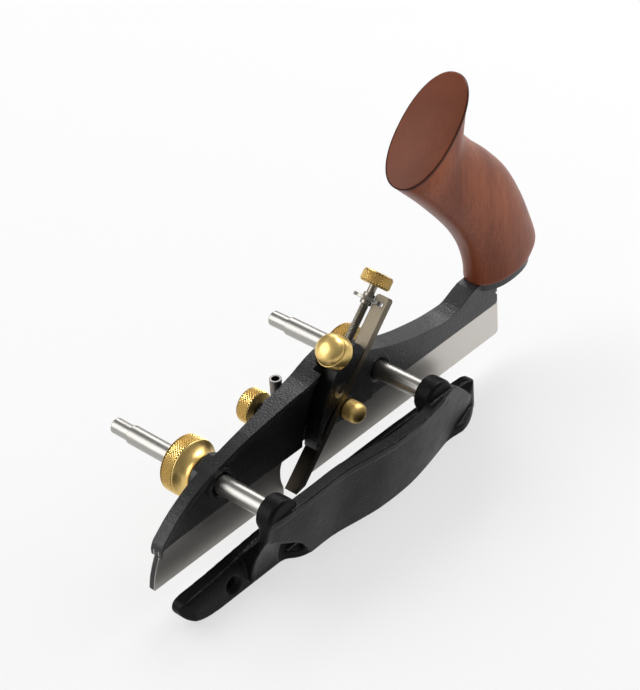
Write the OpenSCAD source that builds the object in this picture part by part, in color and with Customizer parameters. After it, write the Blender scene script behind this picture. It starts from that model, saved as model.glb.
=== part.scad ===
// Plough plane: a one-handed grooving plane with a fence that slides on two rods.
// x runs from the toe (negative) to the heel, y from the fence side to the rod tips, z is up.
// z = 0 is the sole, x = 0 is where the iron's face meets the sole, y = 0 is the middle of the skate.
// Along the bed, u is the distance up the iron from the sole and n is the height off its front face.

/* [Skate and body] */
// Thickness of the skate
skate_t = 2.7; // [2.4:0.1:3]
// Toe end of the sole, ahead of the cutting line
toe_x = 75.7; // [73:0.1:77]
// Heel end of the sole, behind the cutting line
heel_x = 131.6; // [126:0.1:134]
// Near face of the body web
web_y0 = -2.2; // [-2.4:0.1:-1.8]
// Far face of the body web
web_y1 = 1.6; // [1.4:0.1:1.6]
// How far the rim along the top stands out at the fence side
rim_y0 = -3.0; // [-3.4:0.1:-2.6]
// Height of the rim along the top
rim_h = 2.2; // [1.6:0.1:3]
// Radius of the round bosses behind the rod holes
boss_r = 9.7; // [9.3:0.1:10]
// Far end of the round bosses behind the rod holes
boss_y1 = 5.7; // [5.2:0.1:6]
// Height of the underside of the body above the sole
web_z0 = 16.6; // [16:0.1:17.4]

/* [Rods] */
// Radius of the fence rods
rod_r = 3.97; // [3.9:0.01:4.0]
// Distance from the cutting line forward to the front rod
front_rod_x = 37.2; // [36.5:0.1:38]
// Distance from the cutting line back to the rear rod
rear_rod_x = 53.5; // [52.5:0.1:54]
// Height of the rods above the sole
rod_z = 27.6; // [27:0.1:28]
// Far tip of the rods
rod_tip_y = 56; // [50:0.5:60]
// Radius of the turned-down tip of a rod
rod_tip_r = 3.3; // [2.8:0.1:3.6]
// Length of the turned-down tip of a rod
rod_tip_len = 10; // [6:0.5:14]

/* [Iron] */
// Thickness of the iron
iron_t = 3.175; // [3:0.025:3.3]
// Width of the iron
iron_w = 6.35; // [6:0.05:6.5]
// Far edge of the iron
iron_y1 = 1.45; // [1.35:0.05:1.45]
// Upper end of the iron, measured up the bed
iron_top_u = 84.6; // [84:0.1:85.2]
// How far the edge stands below the sole, measured down the bed
edge_drop = 1.41; // [0.5:0.05:1.5]
// Angle of the bevel on the iron
bevel_deg = 35; // [30:1:38]
// Angle of the bed to the sole
bed_deg = 45; // [45:1:45]

/* [Adjuster] */
// Distance of the adjuster axis from the middle of the skate
adj_y = 4.2; // [4.2:0.1:4.4]
// Height of the adjuster axis off the face of the iron
adj_n = 0.5; // [0.3:0.1:0.7]
// Radius of the feed screw
feed_r = 1.8; // [1.6:0.05:1.8]
// Radius of the collar that drives the iron
collar_r = 6.1; // [5.6:0.1:6.3]
// Thickness of the collar that drives the iron
collar_t = 1.4; // [1.2:0.1:1.4]
// Distance of the collar's lower face below the upper end of the iron
collar_below = 4.5; // [4.3:0.1:4.8]
// Radius of the adjuster knob
adj_knob_r = 6.35; // [5.8:0.05:6.5]
// Gap between the collar and the adjuster knob
adj_knob_gap = 5.1; // [4.7:0.1:5.5]
// Length of the adjuster knob
adj_knob_len = 5.5; // [4.5:0.1:6.5]

/* [Lever cap] */
// Near side of the lever cap
cap_y0 = -5.3; // [-5.5:0.1:-5.1]
// Distance up the bed to the pivot of the lever cap
pivot_u = 43.4; // [43:0.1:43.6]
// Height of the pivot off the face of the iron
pivot_n = 3.9; // [3.8:0.1:4]
// Radius of the pivot screw
pivot_r = 2.0; // [1.8:0.05:2.05]
// Radius of the head of the pivot screw
pivot_head_r = 3.3; // [3:0.1:3.3]
// Distance up the bed to the clamp knob of the lever cap
cap_knob_u = 56.3; // [56:0.1:56.6]
// Radius of the clamp knob of the lever cap
cap_knob_r = 7.0; // [6.5:0.1:7.2]
// Radius of the stud under the clamp knob
cap_stud_r = 2.4; // [2:0.1:2.6]

/* [Side clamp screw] */
// Distance up the bed to the side clamp screw
side_u = 38; // [37.5:0.1:38.5]
// Depth of the side clamp screw behind the face of the iron
side_n = 6.9; // [6.7:0.1:7]
// Radius of the head of the side clamp screw
side_head_r = 4.4; // [4.2:0.1:4.5]
// Length of the head of the side clamp screw
side_head_len = 8; // [7:0.1:8.6]

/* [Collet knobs] */
// Radius of the knurled rim of a collet knob
collet_knob_r = 12.0; // [11.5:0.1:12.4]
// Radius of the body end of a collet knob
collet_neck_r = 9.2; // [9:0.1:9.4]
// Far face of a collet knob
collet_knob_y1 = 19.05; // [18.5:0.05:19.5]

/* [Depth stop] */
// Distance behind the cutting line to the depth stop post
stop_x = 7.8; // [7.4:0.1:8.2]
// Distance of the depth stop post from the middle of the skate
stop_y = 10; // [9.9:0.1:10.2]
// Radius of the depth stop post
stop_r = 2.5; // [2.3:0.1:2.6]
// Top of the depth stop post at rest
stop_top_z = 44.7; // [43:0.1:46]
// Underside of the depth stop shoe at rest
shoe_z0 = 14; // [13.8:0.1:14.2]
// Height of the depth stop shoe
shoe_h = 5; // [4:0.1:5.4]
// Length of the depth stop shoe
shoe_len = 40; // [34:1:44]
// Radius of the depth stop knob
stop_knob_r = 7.4; // [6.8:0.1:7.8]
// Height of the axis of the depth stop knob
stop_knob_z = 24.1; // [24.1:0.1:25]

/* [Handle] */
// Middle plane of the handle
handle_y = 1; // [0.6:0.1:1.4]
// Half the width of the handle at its cut top
handle_top_w = 13.4; // [12:0.1:14]
// Half the width of the handle at its base
handle_base_w = 10.9; // [10.4:0.1:11.6]
// Thickness of the deck under the handle
deck_t = 3; // [2.5:0.1:3.5]
// Half the length of the deck under the handle
deck_half_len = 16.8; // [16:0.1:17.4]
// Near side of the tang under the deck
tang_y0 = -1.2; // [-1.8:0.1:-0.8]
// Far side of the tang under the deck
tang_y1 = 4.6; // [4:0.1:6]
// Far side of the wide upper part of the tang
tang_top_y1 = 6.4; // [6:0.1:7]
// Lower edge of the wide upper part of the tang
tang_top_z0 = 24.8; // [24.4:0.1:25.4]

/* [Fence] */
// Face of the fence that runs along the work
fence_y1 = -11.8; // [-12:0.1:-11.6]
// Thickness of the fence plate
fence_t = 7.5; // [7:0.1:8]
// Lower edge of the fence
fence_z0 = -10.6; // [-12:0.1:-10]
// Radius of the fence bosses that hold the rods
fence_boss_r = 7.8; // [7.4:0.1:8]
// Outer end of the fence bosses
fence_boss_y0 = -35; // [-36:0.1:-34.8]
// Inner end of the fence bosses
fence_boss_y1 = -27; // [-27.5:0.1:-26]
// Thickness of the wall of the hand grip
grip_t = 3.6; // [3:0.1:4]
// Lean of the hand grip outwards
grip_lean = 15; // [13:1:16]
// Radius of the two screw holes for a longer face
face_hole_r = 2.1; // [1.8:0.1:2.4]
// Distance of those holes from the middle between the rods
face_hole_half = 60.05; // [58:0.05:62]
// Height of those holes above the sole
face_hole_z = -3.9; // [-4.5:0.1:-3]

/* [Fits] */
// Radial clearance of a running fit
run_gap = 0.05; // [0.03:0.01:0.08]
// Clearance between faces that pass each other
face_gap = 0.3; // [0.3:0.05:0.5]

/* [Hidden] */
$fn = 64;
far = 200;
black = [0.12, 0.12, 0.125];
steel = [0.62, 0.61, 0.6];
bright = [0.78, 0.78, 0.78];
dark_steel = [0.3, 0.3, 0.31];
brass = [0.83, 0.66, 0.32];
wood = [0.52, 0.22, 0.12];

rod_xs = [-front_rod_x, rear_rod_x];
iron_y0 = iron_y1 - iron_w;
fence_y0 = fence_y1 - fence_t;
rods_mid_x = (rear_rod_x - front_rod_x) / 2;
collar_u = iron_top_u - collar_below;
adj_knob_u = collar_u + collar_t + adj_knob_gap;
// Horizontal thickness of the iron, which sets how far behind its face the bed lies
bed_back = iron_t / sin(bed_deg);
cheek_y = web_y1;
cap_y1 = cheek_y - face_gap;
cap_knob_y = (cap_y0 + cheek_y) / 2 + 0.1;
// Underside of the clamp knob above the face of the iron
cap_knob_n = 11.7;
// Upper end of the stud inside its knob
cap_stud_top = 16;
notch_y = -2.6;
side_y = iron_y0 - 0.1;
side_shank_r = 2.4;
side_shank_y1 = 3;
stop_screw_r = 2;
stop_pad_y1 = 13.7;
face_hole_xs = [rods_mid_x - face_hole_half, rods_mid_x + face_hole_half];
shoe_y0 = cheek_y + 1;
lug_z0 = shoe_z0 + shoe_h + 0.6;
// Hub that carries the thread of a collet knob, and the collet inside it
hub_r = 7.4;
hub_y1 = 12.6;
collet_y = [7.5, 12.4, 13, 17.6];
collet_r = [4.6, 5.7, 5.7, 4.8];
// Screw and pin under the handle, and the distance between them
insert_x = 142;
insert_z = [34.4, 46];
insert_r = 4;
handle_screw_r = 2.5;
pin_gap = 18;
pin_x = insert_x - pin_gap;
pin_z = [23, 42];
pin_r = 2;
// Seat of the handle screw's head
screw_seat_z = 31;

// Top line of the body from the toe to the heel, as seen from the side
top_line = [[-71.4, 16], [-70.4, 18.6], [-67.8, 21.2], [-60.2, 27.1], [-48.7, 33.1], [-37.4, 36.5],
    [-20.8, 40.1], [1.9, 42.9], [13.4, 43.8], [22, 46], [31, 47.4], [39, 45.2], [48.6, 40.2],
    [66.5, 33.1], [85.3, 28.4], [98.2, 26.8], [111.3, 26.5], [124.7, 26.6], [129.5, 25.5]];
// Far edge of the body's top rim in plan
far_line = [[-73, 2.8], [-60, 2.7], [-49, 2.8], [-20, 3.2], [2, 5.8], [13, 7.6], [28, 8.6],
    [45, 8], [66, 7], [85, 7.4], [111, 7.4], [131, 7]];
// Edge of the near web in front of the lever cap, from the throat up
pocket_line = [[7.3, web_z0], [8.2, 22], [10.2, 28], [13, 34], [15.6, 39], [17.2, 42.4]];
// Lever cap outline as [up the bed, off the iron]: face, round top end, back, pivot ear, nose
cap_face = [[17.8, 0.9], [20.6, 2.8], [27, 5.5], [33, 8.4], [38, 10.4], [43, 11.1], [50, 11.3],
    [57, 11.3], [60.8, 10.3], [62.8, 8], [63, 5], [62, 2.4], [60, 1.5]];
cap_back = [[54, 1.4], [48, 1], [43.4, 0.5], [39, 1.2], [34, 3], [28, 3.1], [23, 1.5]];
// Handle sections from the base up: [front x, front z, rear x, rear z, share of the half width]
handle_rings = [[117.2, deck_z(117.2), 152, deck_z(152), 0], [116.5, 41, 156, 40, 0.15],
    [113.8, 50.8, 151, 54.3, 0.42], [108.8, 60.4, 144.6, 68.6, 0.64], [102.2, 69.6, 136.3, 83, 0.74],
    [95, 78.3, 125.6, 95.4, 0.72], [88, 86.4, 115, 105.6, 0.66], [81.8, 93, 108.6, 113.9, 0.68],
    [77.2, 97.8, 108.4, 120.2, 0.82], [73.3, 101.8, 112, 136, 1]];
// Fence plate outline, top edge from toe to heel
fence_top = [[-54, fence_z0], [-61, fence_z0 + 0.1], [-67, fence_z0 + 0.8], [-72, fence_z0 + 2.6],
    [-75.7, fence_z0 + 5.4], [-77.6, -1.6], [-76.3, 1.6], [-72, 2.7],
    [-61.8, 3], [-46, 4.2], [-29.7, 5.3], [-10, 6]];
fence_top_rear = [[10, 6], [30, 6.4], [50, 6.2], [64.6, 5.8], [78, 5], [88, 4.4], [93.5, 3.9],
    [97.2, 1.8], [99.6, -2.2], [100.3, -5.4], [99.6, -8.6]];
// Plan of the plate's outer side at its rounded toe and heel
fence_plan_toe = [[-79, -10], [-78.6, -13.6], [-76.6, -17.2], [-72.4, fence_y0]];
fence_plan_heel = [[86, fence_y0], [92.4, -18.6], [96.6, -16.2], [99.6, -12.4], [100.4, -10]];
// Section of the plate's outer side, rounded over towards the top edge
fence_section = [[-19.4, -3.6], [-19, -0.8], [-18.2, 1.6], [-17, 3.5], [-15.4, 5], [-14.4, 7]];
// Outer line of the fence's foot in plan
foot_line = [[-30, -19], [-24.4, -19.8], [-20.6, -22.8], [-16, -24.6], [-9, -23.9], [0, -24.6],
    [11, -27.3], [21, -28.8], [31, -29.1], [40, -28.8], [50, -27.4], [61, -25.2], [70, -23.5],
    [75, -23.8], [80, -24.2], [85, -22.9], [90, -20.5], [95, -17.1], [98.4, -14]];
// Outer line of the grip in plan, at the height of the foot
grip_line = [[-45, -23.6], [-37, -24.6], [-20, -25], [-3, -25], [11, -27.3], [21, -28.8], [31, -29.1],
    [40, -28.8], [50, -27.4], [61, -25.2], [71, -22.9], [82.6, -20.2], [89.3, -17.8], [94, -15]];
// Side view of the grip: rim, rear slope, foot, front scallop
grip_side = [[-45, rod_z], [60, rod_z + 2], [64.2, rod_z - 0.6], [70.3, 21], [77.7, 13.6], [86.4, 4],
    [93, -3.4], [95.6, -6.6], [96, fence_z0],
    [-15, fence_z0], [-17.5, -6.5], [-21, -0.5], [-26, 4.6], [-33, 9.6], [-40, 15], [-45, 17.5]];

// One point of the smooth curve between b and c
function span(a, b, c, d, t) =
    (2 * b + (c - a) * t + (2 * a - 5 * b + 4 * c - d) * t * t + (3 * b - a - 3 * c + d) * t * t * t) / 2;
// Smooth curve through the points p, with k steps from each point to the next
function curve(p, k = 4) = concat(
    [for (i = [0:len(p) - 2]) for (j = [0:k - 1])
        span(p[max(i - 1, 0)], p[i], p[i + 1], p[min(i + 2, len(p) - 1)], j / k)],
    [p[len(p) - 1]]);
function flip(p) = [for (i = [len(p) - 1:-1:0]) p[i]];

// Solid of a side outline (x, z) between two values of y
module slab(pts, y0, y1) {
    translate([0, y1, 0])
        rotate([90, 0, 0])
            linear_extrude(y1 - y0) polygon(pts);
}

// Cylinder or cone along y
module along_y(x, z, y0, y1, r, r2 = -1) {
    translate([x, y0, z])
        rotate([-90, 0, 0])
            cylinder(h = y1 - y0, r1 = r, r2 = r2 < 0 ? r : r2);
}

// Frame of the bed: local x runs up the iron, local z off its face
module on_bed() {
    rotate([0, -bed_deg, 0]) children();
}

// Cylinder along the bed
module along_u(y, n, u0, u1, r, r2 = -1) {
    translate([u0, y, n])
        rotate([0, 90, 0])
            cylinder(h = u1 - u0, r1 = r, r2 = r2 < 0 ? r : r2);
}

// Hexagonal socket along y, open at y0
module socket_y(x, z, y0, depth, across) {
    translate([x, y0, z])
        rotate([-90, 0, 0])
            cylinder(h = depth, r = across / sqrt(3), $fn = 6);
}

module body_side() {
    outline = concat(curve(top_line, 3),
        [[130, web_z0 + 0.5], [129.4, web_z0], [-5.4, web_z0], [-60, web_z0]]);
    slab(outline, -far, far);
}

// Part of the body above a line rim_h under its top line
module body_rim_side() {
    t = curve(top_line, 3);
    slab(concat(t, flip([for (p = t) p - [0, rim_h]])), -far, far);
}

module body_plan(y0) {
    linear_extrude(far) polygon(concat([[-73, y0]], curve(far_line, 3), [[131, y0]]));
}

module skates() {
    slab(concat([[-toe_x, 0]],
        curve([[-toe_x - 0.2, 0.8], [-toe_x + 0.7, 5.1], [-toe_x + 2.5, 9.9], [-toe_x + 4.8, 14.4],
            [-toe_x + 7, 18]], 3),
        [[-5.6, 18]], curve([[-3.8, 15.5], [-5, 12.7], [-5.3, 7.7], [-4.3, 3.4], [-4.3, 0]], 3)),
        -skate_t / 2, skate_t / 2);
    back = iron_t * sqrt(2);
    slab([[back + 1.1, 0], [back + 1.1, 1.1], [back + 20, 20], [heel_x, 20], [heel_x, 1.2],
        [heel_x - 1.2, 0]],
        -skate_t / 2, skate_t / 2);
}

// Space in front of the iron that the lever cap and the shavings need
module cap_pocket(y0, y1) {
    slab(concat(curve(pocket_line, 3),
        [[21, 46.5], [24, 70], [110 + bed_back, 110], [web_z0 - 1 + bed_back, web_z0 - 1]]), y0, y1);
}

module body_casting() {
    // Web over the skates, open in front of the iron
    intersection() {
        body_side();
        translate([-far, web_y0, 0]) cube([2 * far, web_y1 - web_y0, far]);
    }
    difference() {
        union() {
            // Rim along the top
            intersection() {
                body_rim_side();
                body_plan(rim_y0);
            }
            // Thick middle that carries the bed and the cheek
            intersection() {
                body_side();
                body_plan(rim_y0);
                slab([[-15, 21], [-15, 48], [62, 48], [64, 30], [52, 20.6], [20, 20.6]], web_y1 - 0.05, 20);
            }
        }
        // Room for the collet knobs
        for (x = rod_xs) along_y(x, rod_z, boss_y1, 20, collet_neck_r + 0.8);
    }
    // Bed block behind the iron
    intersection() {
        body_side();
        slab([[20, web_z0], [20, 60], [52, 60], [58, 33], [48, web_z0]], rim_y0, web_y1);
    }
    for (x = rod_xs) {
        intersection() {
            along_y(x, rod_z, web_y0, boss_y1, boss_r);
            body_side();
        }
        along_y(x, rod_z, boss_y1, hub_y1, hub_r);
        along_y(x, rod_z, rim_y0, web_y0, 6.6);
    }
    depth_stop_lug();
    // Seat under the side clamp screw
    intersection() {
        on_bed() along_y(side_u, -side_n, -4.7, web_y0, side_head_r + 0.6);
        on_bed() translate([0, -20, -30]) cube([90, 40, 30 - iron_t]);
    }
    handle_deck();
    skates();
}

module depth_stop_lug() {
    translate([stop_x, stop_y, lug_z0]) cylinder(h = 12.4, r = 6);
    translate([stop_x - 6, cheek_y, lug_z0]) cube([12, stop_y - cheek_y, 12.4]);
    along_y(stop_x, stop_knob_z, stop_y, 17.4, 4.4);
    along_y(stop_x, stop_knob_z, 17.4, 20.2, 4.4, 3.4);
}

// Tang under the deck between two values of y, above the height z0
module tang(y0, y1, z0) {
    intersection() {
        slab(concat([[96, 20], [96, 26.7]],
            curve([[99, 27], [105, 28.2], [110, 30.3], [114.6, deck_z(114.6)]], 3),
            [[151.6, deck_z(151.6)], [152.6, deck_z(151.6) - 1.6]],
            curve([[147, 30.6], [140, 28.2], [134, 25.6], [130, 22.4]], 3), [[129.6, 20]]), y0, y1);
        translate([0, -far, z0]) cube([far, 2 * far, far]);
    }
}

// Tang and oval deck that the handle stands on
module handle_deck() {
    tang(tang_y0, tang_y1, 0);
    tang(rim_y0, tang_top_y1, tang_top_z0);
    intersection() {
        slab([[100, deck_z(100) - deck_t], [100, deck_z(100)], [160, deck_z(160)],
            [160, deck_z(160) - deck_t]], -far, far);
        translate([134.6, handle_y, 0]) linear_extrude(far)
            polygon(oval(deck_half_len, handle_base_w - 0.8, 2.2));
    }
}

// Oval with half axes a and b; a power of 2 gives an ellipse and more gives squarer ends
function oval(a, b, power, k = 48) = [for (i = [0:k - 1]) let (t = 360 * i / k)
    [a * sign(cos(t)) * pow(abs(cos(t)), 2 / power), b * sign(sin(t)) * pow(abs(sin(t)), 2 / power)]];

// Top face of the deck
function deck_z(x) = 32.2 + 0.0716 * (x - 117.2);

module body() {
    color(black)
        difference() {
            body_casting();
            cap_pocket(-20, cheek_y);
            // Room under the clamp knob of the lever cap
            on_bed() translate([cap_knob_u, cap_knob_y, cap_knob_n - 1])
                cylinder(h = 30, r = cap_knob_r + 1.2);
            // Rod holes with a machined chamfer at the fence side
            for (x = rod_xs) {
                along_y(x, rod_z, -10, hub_y1 + 10, rod_r + run_gap);
                along_y(x, rod_z, rim_y0 - 0.01, rim_y0 + 1.6, 5.7, 4.1);
                along_y(x, rod_z, collet_y[0] - 0.01, collet_y[0] + 0.01, collet_r[0] + run_gap);
                along_y(x, rod_z, collet_y[0], collet_y[1], collet_r[0] + run_gap, collet_r[1] + run_gap);
                along_y(x, rod_z, collet_y[1], hub_y1 + 0.01, collet_r[1] + run_gap);
            }
            // Holes for the feed screw, the pivot screw and the side clamp screw
            on_bed() along_u(adj_y, adj_n, 47, 70, feed_r + run_gap);
            on_bed() along_y(pivot_u, pivot_n, 0, 20, pivot_r);
            on_bed() along_y(side_u, -side_n, -6, side_shank_y1 + 0.2, side_shank_r + run_gap);
            // Depth stop post hole and the hole of its clamp
            translate([stop_x, stop_y, 10]) cylinder(h = 40, r = stop_r + run_gap);
            along_y(stop_x, stop_knob_z, stop_y, 22, stop_screw_r + run_gap);
            // Screw and pin of the handle
            translate([insert_x, handle_y, 20]) cylinder(h = 20, r = handle_screw_r + 0.1);
            translate([insert_x, handle_y, 20]) cylinder(h = screw_seat_z - 20, r = 4.7);
            translate([pin_x, handle_y, pin_z[0]]) cylinder(h = 20, r = pin_r);
        }
}

function sgn_pow(v, p) = sign(v) * pow(abs(v), p);

// Wooden handle, swept through its sections
module handle_shape() {
    k = 40;
    lines = [for (c = [0:4]) curve([for (r = handle_rings) [r[c], 0]], 3)];
    n = len(lines[0]);
    pts = [for (i = [0:n - 1]) for (j = [0:k - 1])
        let (front = [lines[0][i][0], lines[1][i][0]],
            back = [lines[2][i][0], lines[3][i][0]],
            w = handle_base_w + (handle_top_w - handle_base_w) * lines[4][i][0],
            t = 360 * j / k,
            mid = (front + back) / 2,
            half = (back - front) / 2 * sgn_pow(cos(t), 0.92))
        [mid[0] + half[0], handle_y + w * sgn_pow(sin(t), 0.92), mid[1] + half[1]]];
    polyhedron(pts, concat([[for (j = [0:k - 1]) j]],
        [for (i = [0:n - 2]) for (j = [0:k - 1])
            [i * k + j, (i + 1) * k + j, (i + 1) * k + (j + 1) % k, i * k + (j + 1) % k]],
        [[for (j = [k - 1:-1:0]) (n - 1) * k + j]]));
}

module handle() {
    color(wood)
        difference() {
            handle_shape();
            translate([insert_x, handle_y, 0]) cylinder(h = insert_z[1], r = insert_r);
            translate([pin_x, handle_y, 0]) cylinder(h = pin_z[1] + 0.5, r = pin_r);
        }
}

module handle_insert() {
    color(brass)
        translate([insert_x, handle_y, insert_z[0]])
            difference() {
                cylinder(h = insert_z[1] - insert_z[0], r = insert_r);
                translate([0, 0, -1]) cylinder(h = 20, r = handle_screw_r);
            }
}

module handle_screw() {
    color(dark_steel)
        difference() {
            translate([insert_x, handle_y, 0]) {
                translate([0, 0, screw_seat_z - 3.2]) cylinder(h = 3.2, r = 4.2);
                translate([0, 0, screw_seat_z]) cylinder(h = 14, r = handle_screw_r);
            }
            translate([insert_x, handle_y, screw_seat_z - 4]) cylinder(h = 2.8, r = 4 / sqrt(3), $fn = 6);
        }
}

module handle_pin() {
    color(steel)
        translate([pin_x, handle_y, pin_z[0]]) cylinder(h = pin_z[1] - pin_z[0], r = pin_r);
}

module iron() {
    bevel_u = iron_t / tan(bevel_deg);
    corner_r = 1.4;
    color(steel)
        on_bed() difference() {
            intersection() {
                slab([[-edge_drop, 0], [iron_top_u, 0], [iron_top_u, -iron_t],
                    [bevel_u - edge_drop, -iron_t]],
                    iron_y0, iron_y1);
                // Rounded corners at the upper end
                translate([0, 0, -10]) linear_extrude(20) {
                    translate([-10, iron_y0]) square([iron_top_u + 10 - corner_r, iron_w]);
                    translate([-10, iron_y0 + corner_r]) square([iron_top_u + 10, iron_w - 2 * corner_r]);
                    for (y = [iron_y0 + corner_r, iron_y1 - corner_r])
                        translate([iron_top_u - corner_r, y]) circle(r = corner_r);
                }
            }
            // Notch that the collar of the adjuster sits in
            translate([collar_u - 0.1, notch_y, -10]) cube([collar_t + 0.2, 10, 20]);
            translate([collar_u + collar_t / 2, notch_y, -10]) cylinder(h = 20, r = collar_t / 2 + 0.1);
        }
}

module lever_cap() {
    profile = concat(curve(cap_face, 3), curve(cap_back, 3), [[20, 0], [17.9, 0]]);
    color(black)
        on_bed() difference() {
            slab(profile, cap_y0, cap_y1);
            // Finger pad sunk in the face
            translate([23.4, (cap_y0 + cap_y1) / 2, 24.6]) sphere(r = 19, $fn = 96);
            // Pivot hole and the recess for the screw head
            along_y(pivot_u, pivot_n, -20, 20, pivot_r + run_gap);
            along_y(pivot_u, pivot_n, -20, cap_y0 + 2.8, pivot_head_r + 0.1);
            translate([cap_knob_u, cap_knob_y, -5]) cylinder(h = 30, r = cap_stud_r + run_gap);
        }
}

module lever_cap_screw() {
    color(dark_steel)
        on_bed() difference() {
            union() {
                along_y(pivot_u, pivot_n, cap_y0 + 0.2, cap_y0 + 2.7, pivot_head_r);
                along_y(pivot_u, pivot_n, cap_y0 + 2.7, 7, pivot_r);
            }
            socket_y(pivot_u, pivot_n, cap_y0 - 0.1, 2.2, 3);
        }
}

module lever_cap_stud() {
    color(steel)
        on_bed() translate([cap_knob_u, cap_knob_y, run_gap]) {
            cylinder(h = 0.9, r1 = 0.8, r2 = cap_stud_r);
            translate([0, 0, 0.9]) cylinder(h = cap_stud_top - 0.9 - run_gap, r = cap_stud_r);
        }
}

// Domed knob on a short cylinder: r, length of the cylinder, height of the dome
module domed_knob(r, len, dome) {
    ball = ((r - 0.3) * (r - 0.3) + dome * dome) / (2 * dome);
    top = asin((r - 0.3) / ball);
    rotate_extrude()
        polygon(concat([[0, 0], [r - 0.4, 0], [r, 0.4], [r, len - 0.9], [r - 0.4, len - 0.7],
            [r - 0.4, len - 0.4], [r - 0.3, len]],
            [for (i = [9:-1:0]) [ball * sin(top * i / 10), len + dome - ball + ball * cos(top * i / 10)]]));
}

module lever_cap_knob() {
    color(brass)
        on_bed() translate([cap_knob_u, cap_knob_y, cap_knob_n]) difference() {
            domed_knob(cap_knob_r, 6.6, 3.2);
            translate([0, 0, -1]) cylinder(h = 1.8 + cap_stud_top - cap_knob_n, r = cap_stud_r + run_gap);
        }
}

module side_clamp_screw() {
    color(brass)
        on_bed() translate([side_u, 0, -side_n]) {
            translate([0, side_y, 0]) rotate([90, 0, 0]) domed_knob(side_head_r, side_head_len - 1.3, 1.3);
            translate([0, side_y, 0]) rotate([-90, 0, 0])
                cylinder(h = side_shank_y1 - side_y, r = side_shank_r);
        }
}

module adjuster_collar() {
    color(bright)
        on_bed() difference() {
            along_u(adj_y, adj_n, collar_u, collar_u + collar_t, collar_r);
            along_u(adj_y, adj_n, collar_u - 1, collar_u + collar_t + 1, feed_r + run_gap);
        }
}

module adjuster_screw() {
    color(dark_steel)
        on_bed() {
            along_u(adj_y, adj_n, 50, adj_knob_u + 3.4, feed_r);
            along_u(adj_y, adj_n, collar_u - 1.8, collar_u - run_gap, 2.5);
            along_u(adj_y, adj_n, collar_u + collar_t + run_gap, collar_u + collar_t + 1.7, 2.5);
        }
}

module adjuster_knob() {
    color(brass)
        on_bed() translate([adj_knob_u, adj_y, adj_n]) rotate([0, 90, 0]) difference() {
            rotate_extrude()
                polygon([[0, 0], [adj_knob_r - 0.5, 0], [adj_knob_r, 0.5], [adj_knob_r, adj_knob_len - 0.5],
                    [adj_knob_r - 0.5, adj_knob_len], [3.4, adj_knob_len], [3.1, adj_knob_len - 0.3],
                    [0, adj_knob_len - 0.3]]);
            translate([0, 0, -1]) cylinder(h = 4.4, r = feed_r);
        }
}

module rod(x) {
    color(bright) {
        along_y(x, rod_z, fence_boss_y0 + 3, rod_tip_y - rod_tip_len, rod_r);
        along_y(x, rod_z, rod_tip_y - rod_tip_len, rod_tip_y - 0.5, rod_tip_r);
        along_y(x, rod_z, rod_tip_y - 0.5, rod_tip_y, rod_tip_r, rod_tip_r - 0.5);
    }
}

// Split collet round a rod, tapered at both ends
module collet(x) {
    color(steel)
        difference() {
            for (i = [0:2])
                along_y(x, rod_z, collet_y[i], collet_y[i + 1], collet_r[i], collet_r[i + 1]);
            along_y(x, rod_z, 0, 40, rod_r + run_gap);
            for (a = [30, 150, 270])
                translate([x, collet_y[0] + 1.6, rod_z]) rotate([0, a, 0])
                    translate([0, 0, -0.4]) cube([10, 20, 0.8]);
        }
}

// Collet knob: threaded onto the hub, knurled rim at the far end
module collet_knob(x) {
    y1 = collet_knob_y1;
    r = collet_knob_r;
    color(brass)
        translate([x, 0, rod_z])
            rotate([-90, 0, 0])
                rotate_extrude()
                    polygon(concat([[hub_r + run_gap, boss_y1 + 0.5], [collet_neck_r - 0.3, boss_y1 + 0.5]],
                        curve([[collet_neck_r, boss_y1 + 0.8], [collet_neck_r, boss_y1 + 2],
                            [collet_neck_r + 0.5, y1 - 9], [r - 1, y1 - 7.4], [r - 0.5, y1 - 6.8]], 3),
                        [[r, y1 - 6.2], [r, y1 - 0.6], [r - 0.6, y1], [rod_r + 0.5, y1],
                            [rod_r + 0.5, collet_y[3] + 0.2], [collet_r[3] + run_gap, collet_y[3] + 0.2],
                            [collet_r[3] + run_gap, collet_y[3]], [collet_r[2] + run_gap, collet_y[2]],
                            [hub_r + run_gap, collet_y[2]]]));
}

module depth_stop_post() {
    color(dark_steel)
        difference() {
            translate([stop_x, stop_y, shoe_z0 + 2.4]) cylinder(h = stop_top_z - shoe_z0 - 2.4, r = stop_r);
            translate([stop_x, stop_y, stop_top_z - 12]) cylinder(h = 20, r = stop_r - 0.85);
            translate([stop_x, stop_y, shoe_z0]) cylinder(h = 9, r = 1.5);
        }
}

module depth_stop_shoe() {
    w = 10.4;
    r = 3;
    color(black)
        difference() {
            translate([stop_x, shoe_y0, shoe_z0]) linear_extrude(shoe_h) {
                translate([-shoe_len / 2 + r, 0]) square([shoe_len - 2 * r, w]);
                translate([-shoe_len / 2, r]) square([shoe_len, w - 2 * r]);
                for (x = [-1, 1]) for (y = [r, w - r])
                    translate([x * (shoe_len / 2 - r), y]) circle(r = r);
            }
            translate([stop_x, stop_y, shoe_z0 + 2.4]) cylinder(h = 20, r = stop_r);
            translate([stop_x, stop_y, 0]) cylinder(h = 40, r = 1.6);
            translate([stop_x, stop_y, shoe_z0 - 0.01]) cylinder(h = 1.5, r1 = 3, r2 = 1.6);
        }
}

module depth_stop_shoe_screw() {
    color(dark_steel)
        difference() {
            translate([stop_x, stop_y, shoe_z0]) {
                cylinder(h = 1.4, r1 = 2.9, r2 = 1.5);
                cylinder(h = 8, r = 1.5);
            }
            translate([stop_x - 5, stop_y - 0.4, shoe_z0 - 1]) cube([10, 0.8, 1.6]);
        }
}

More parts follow.
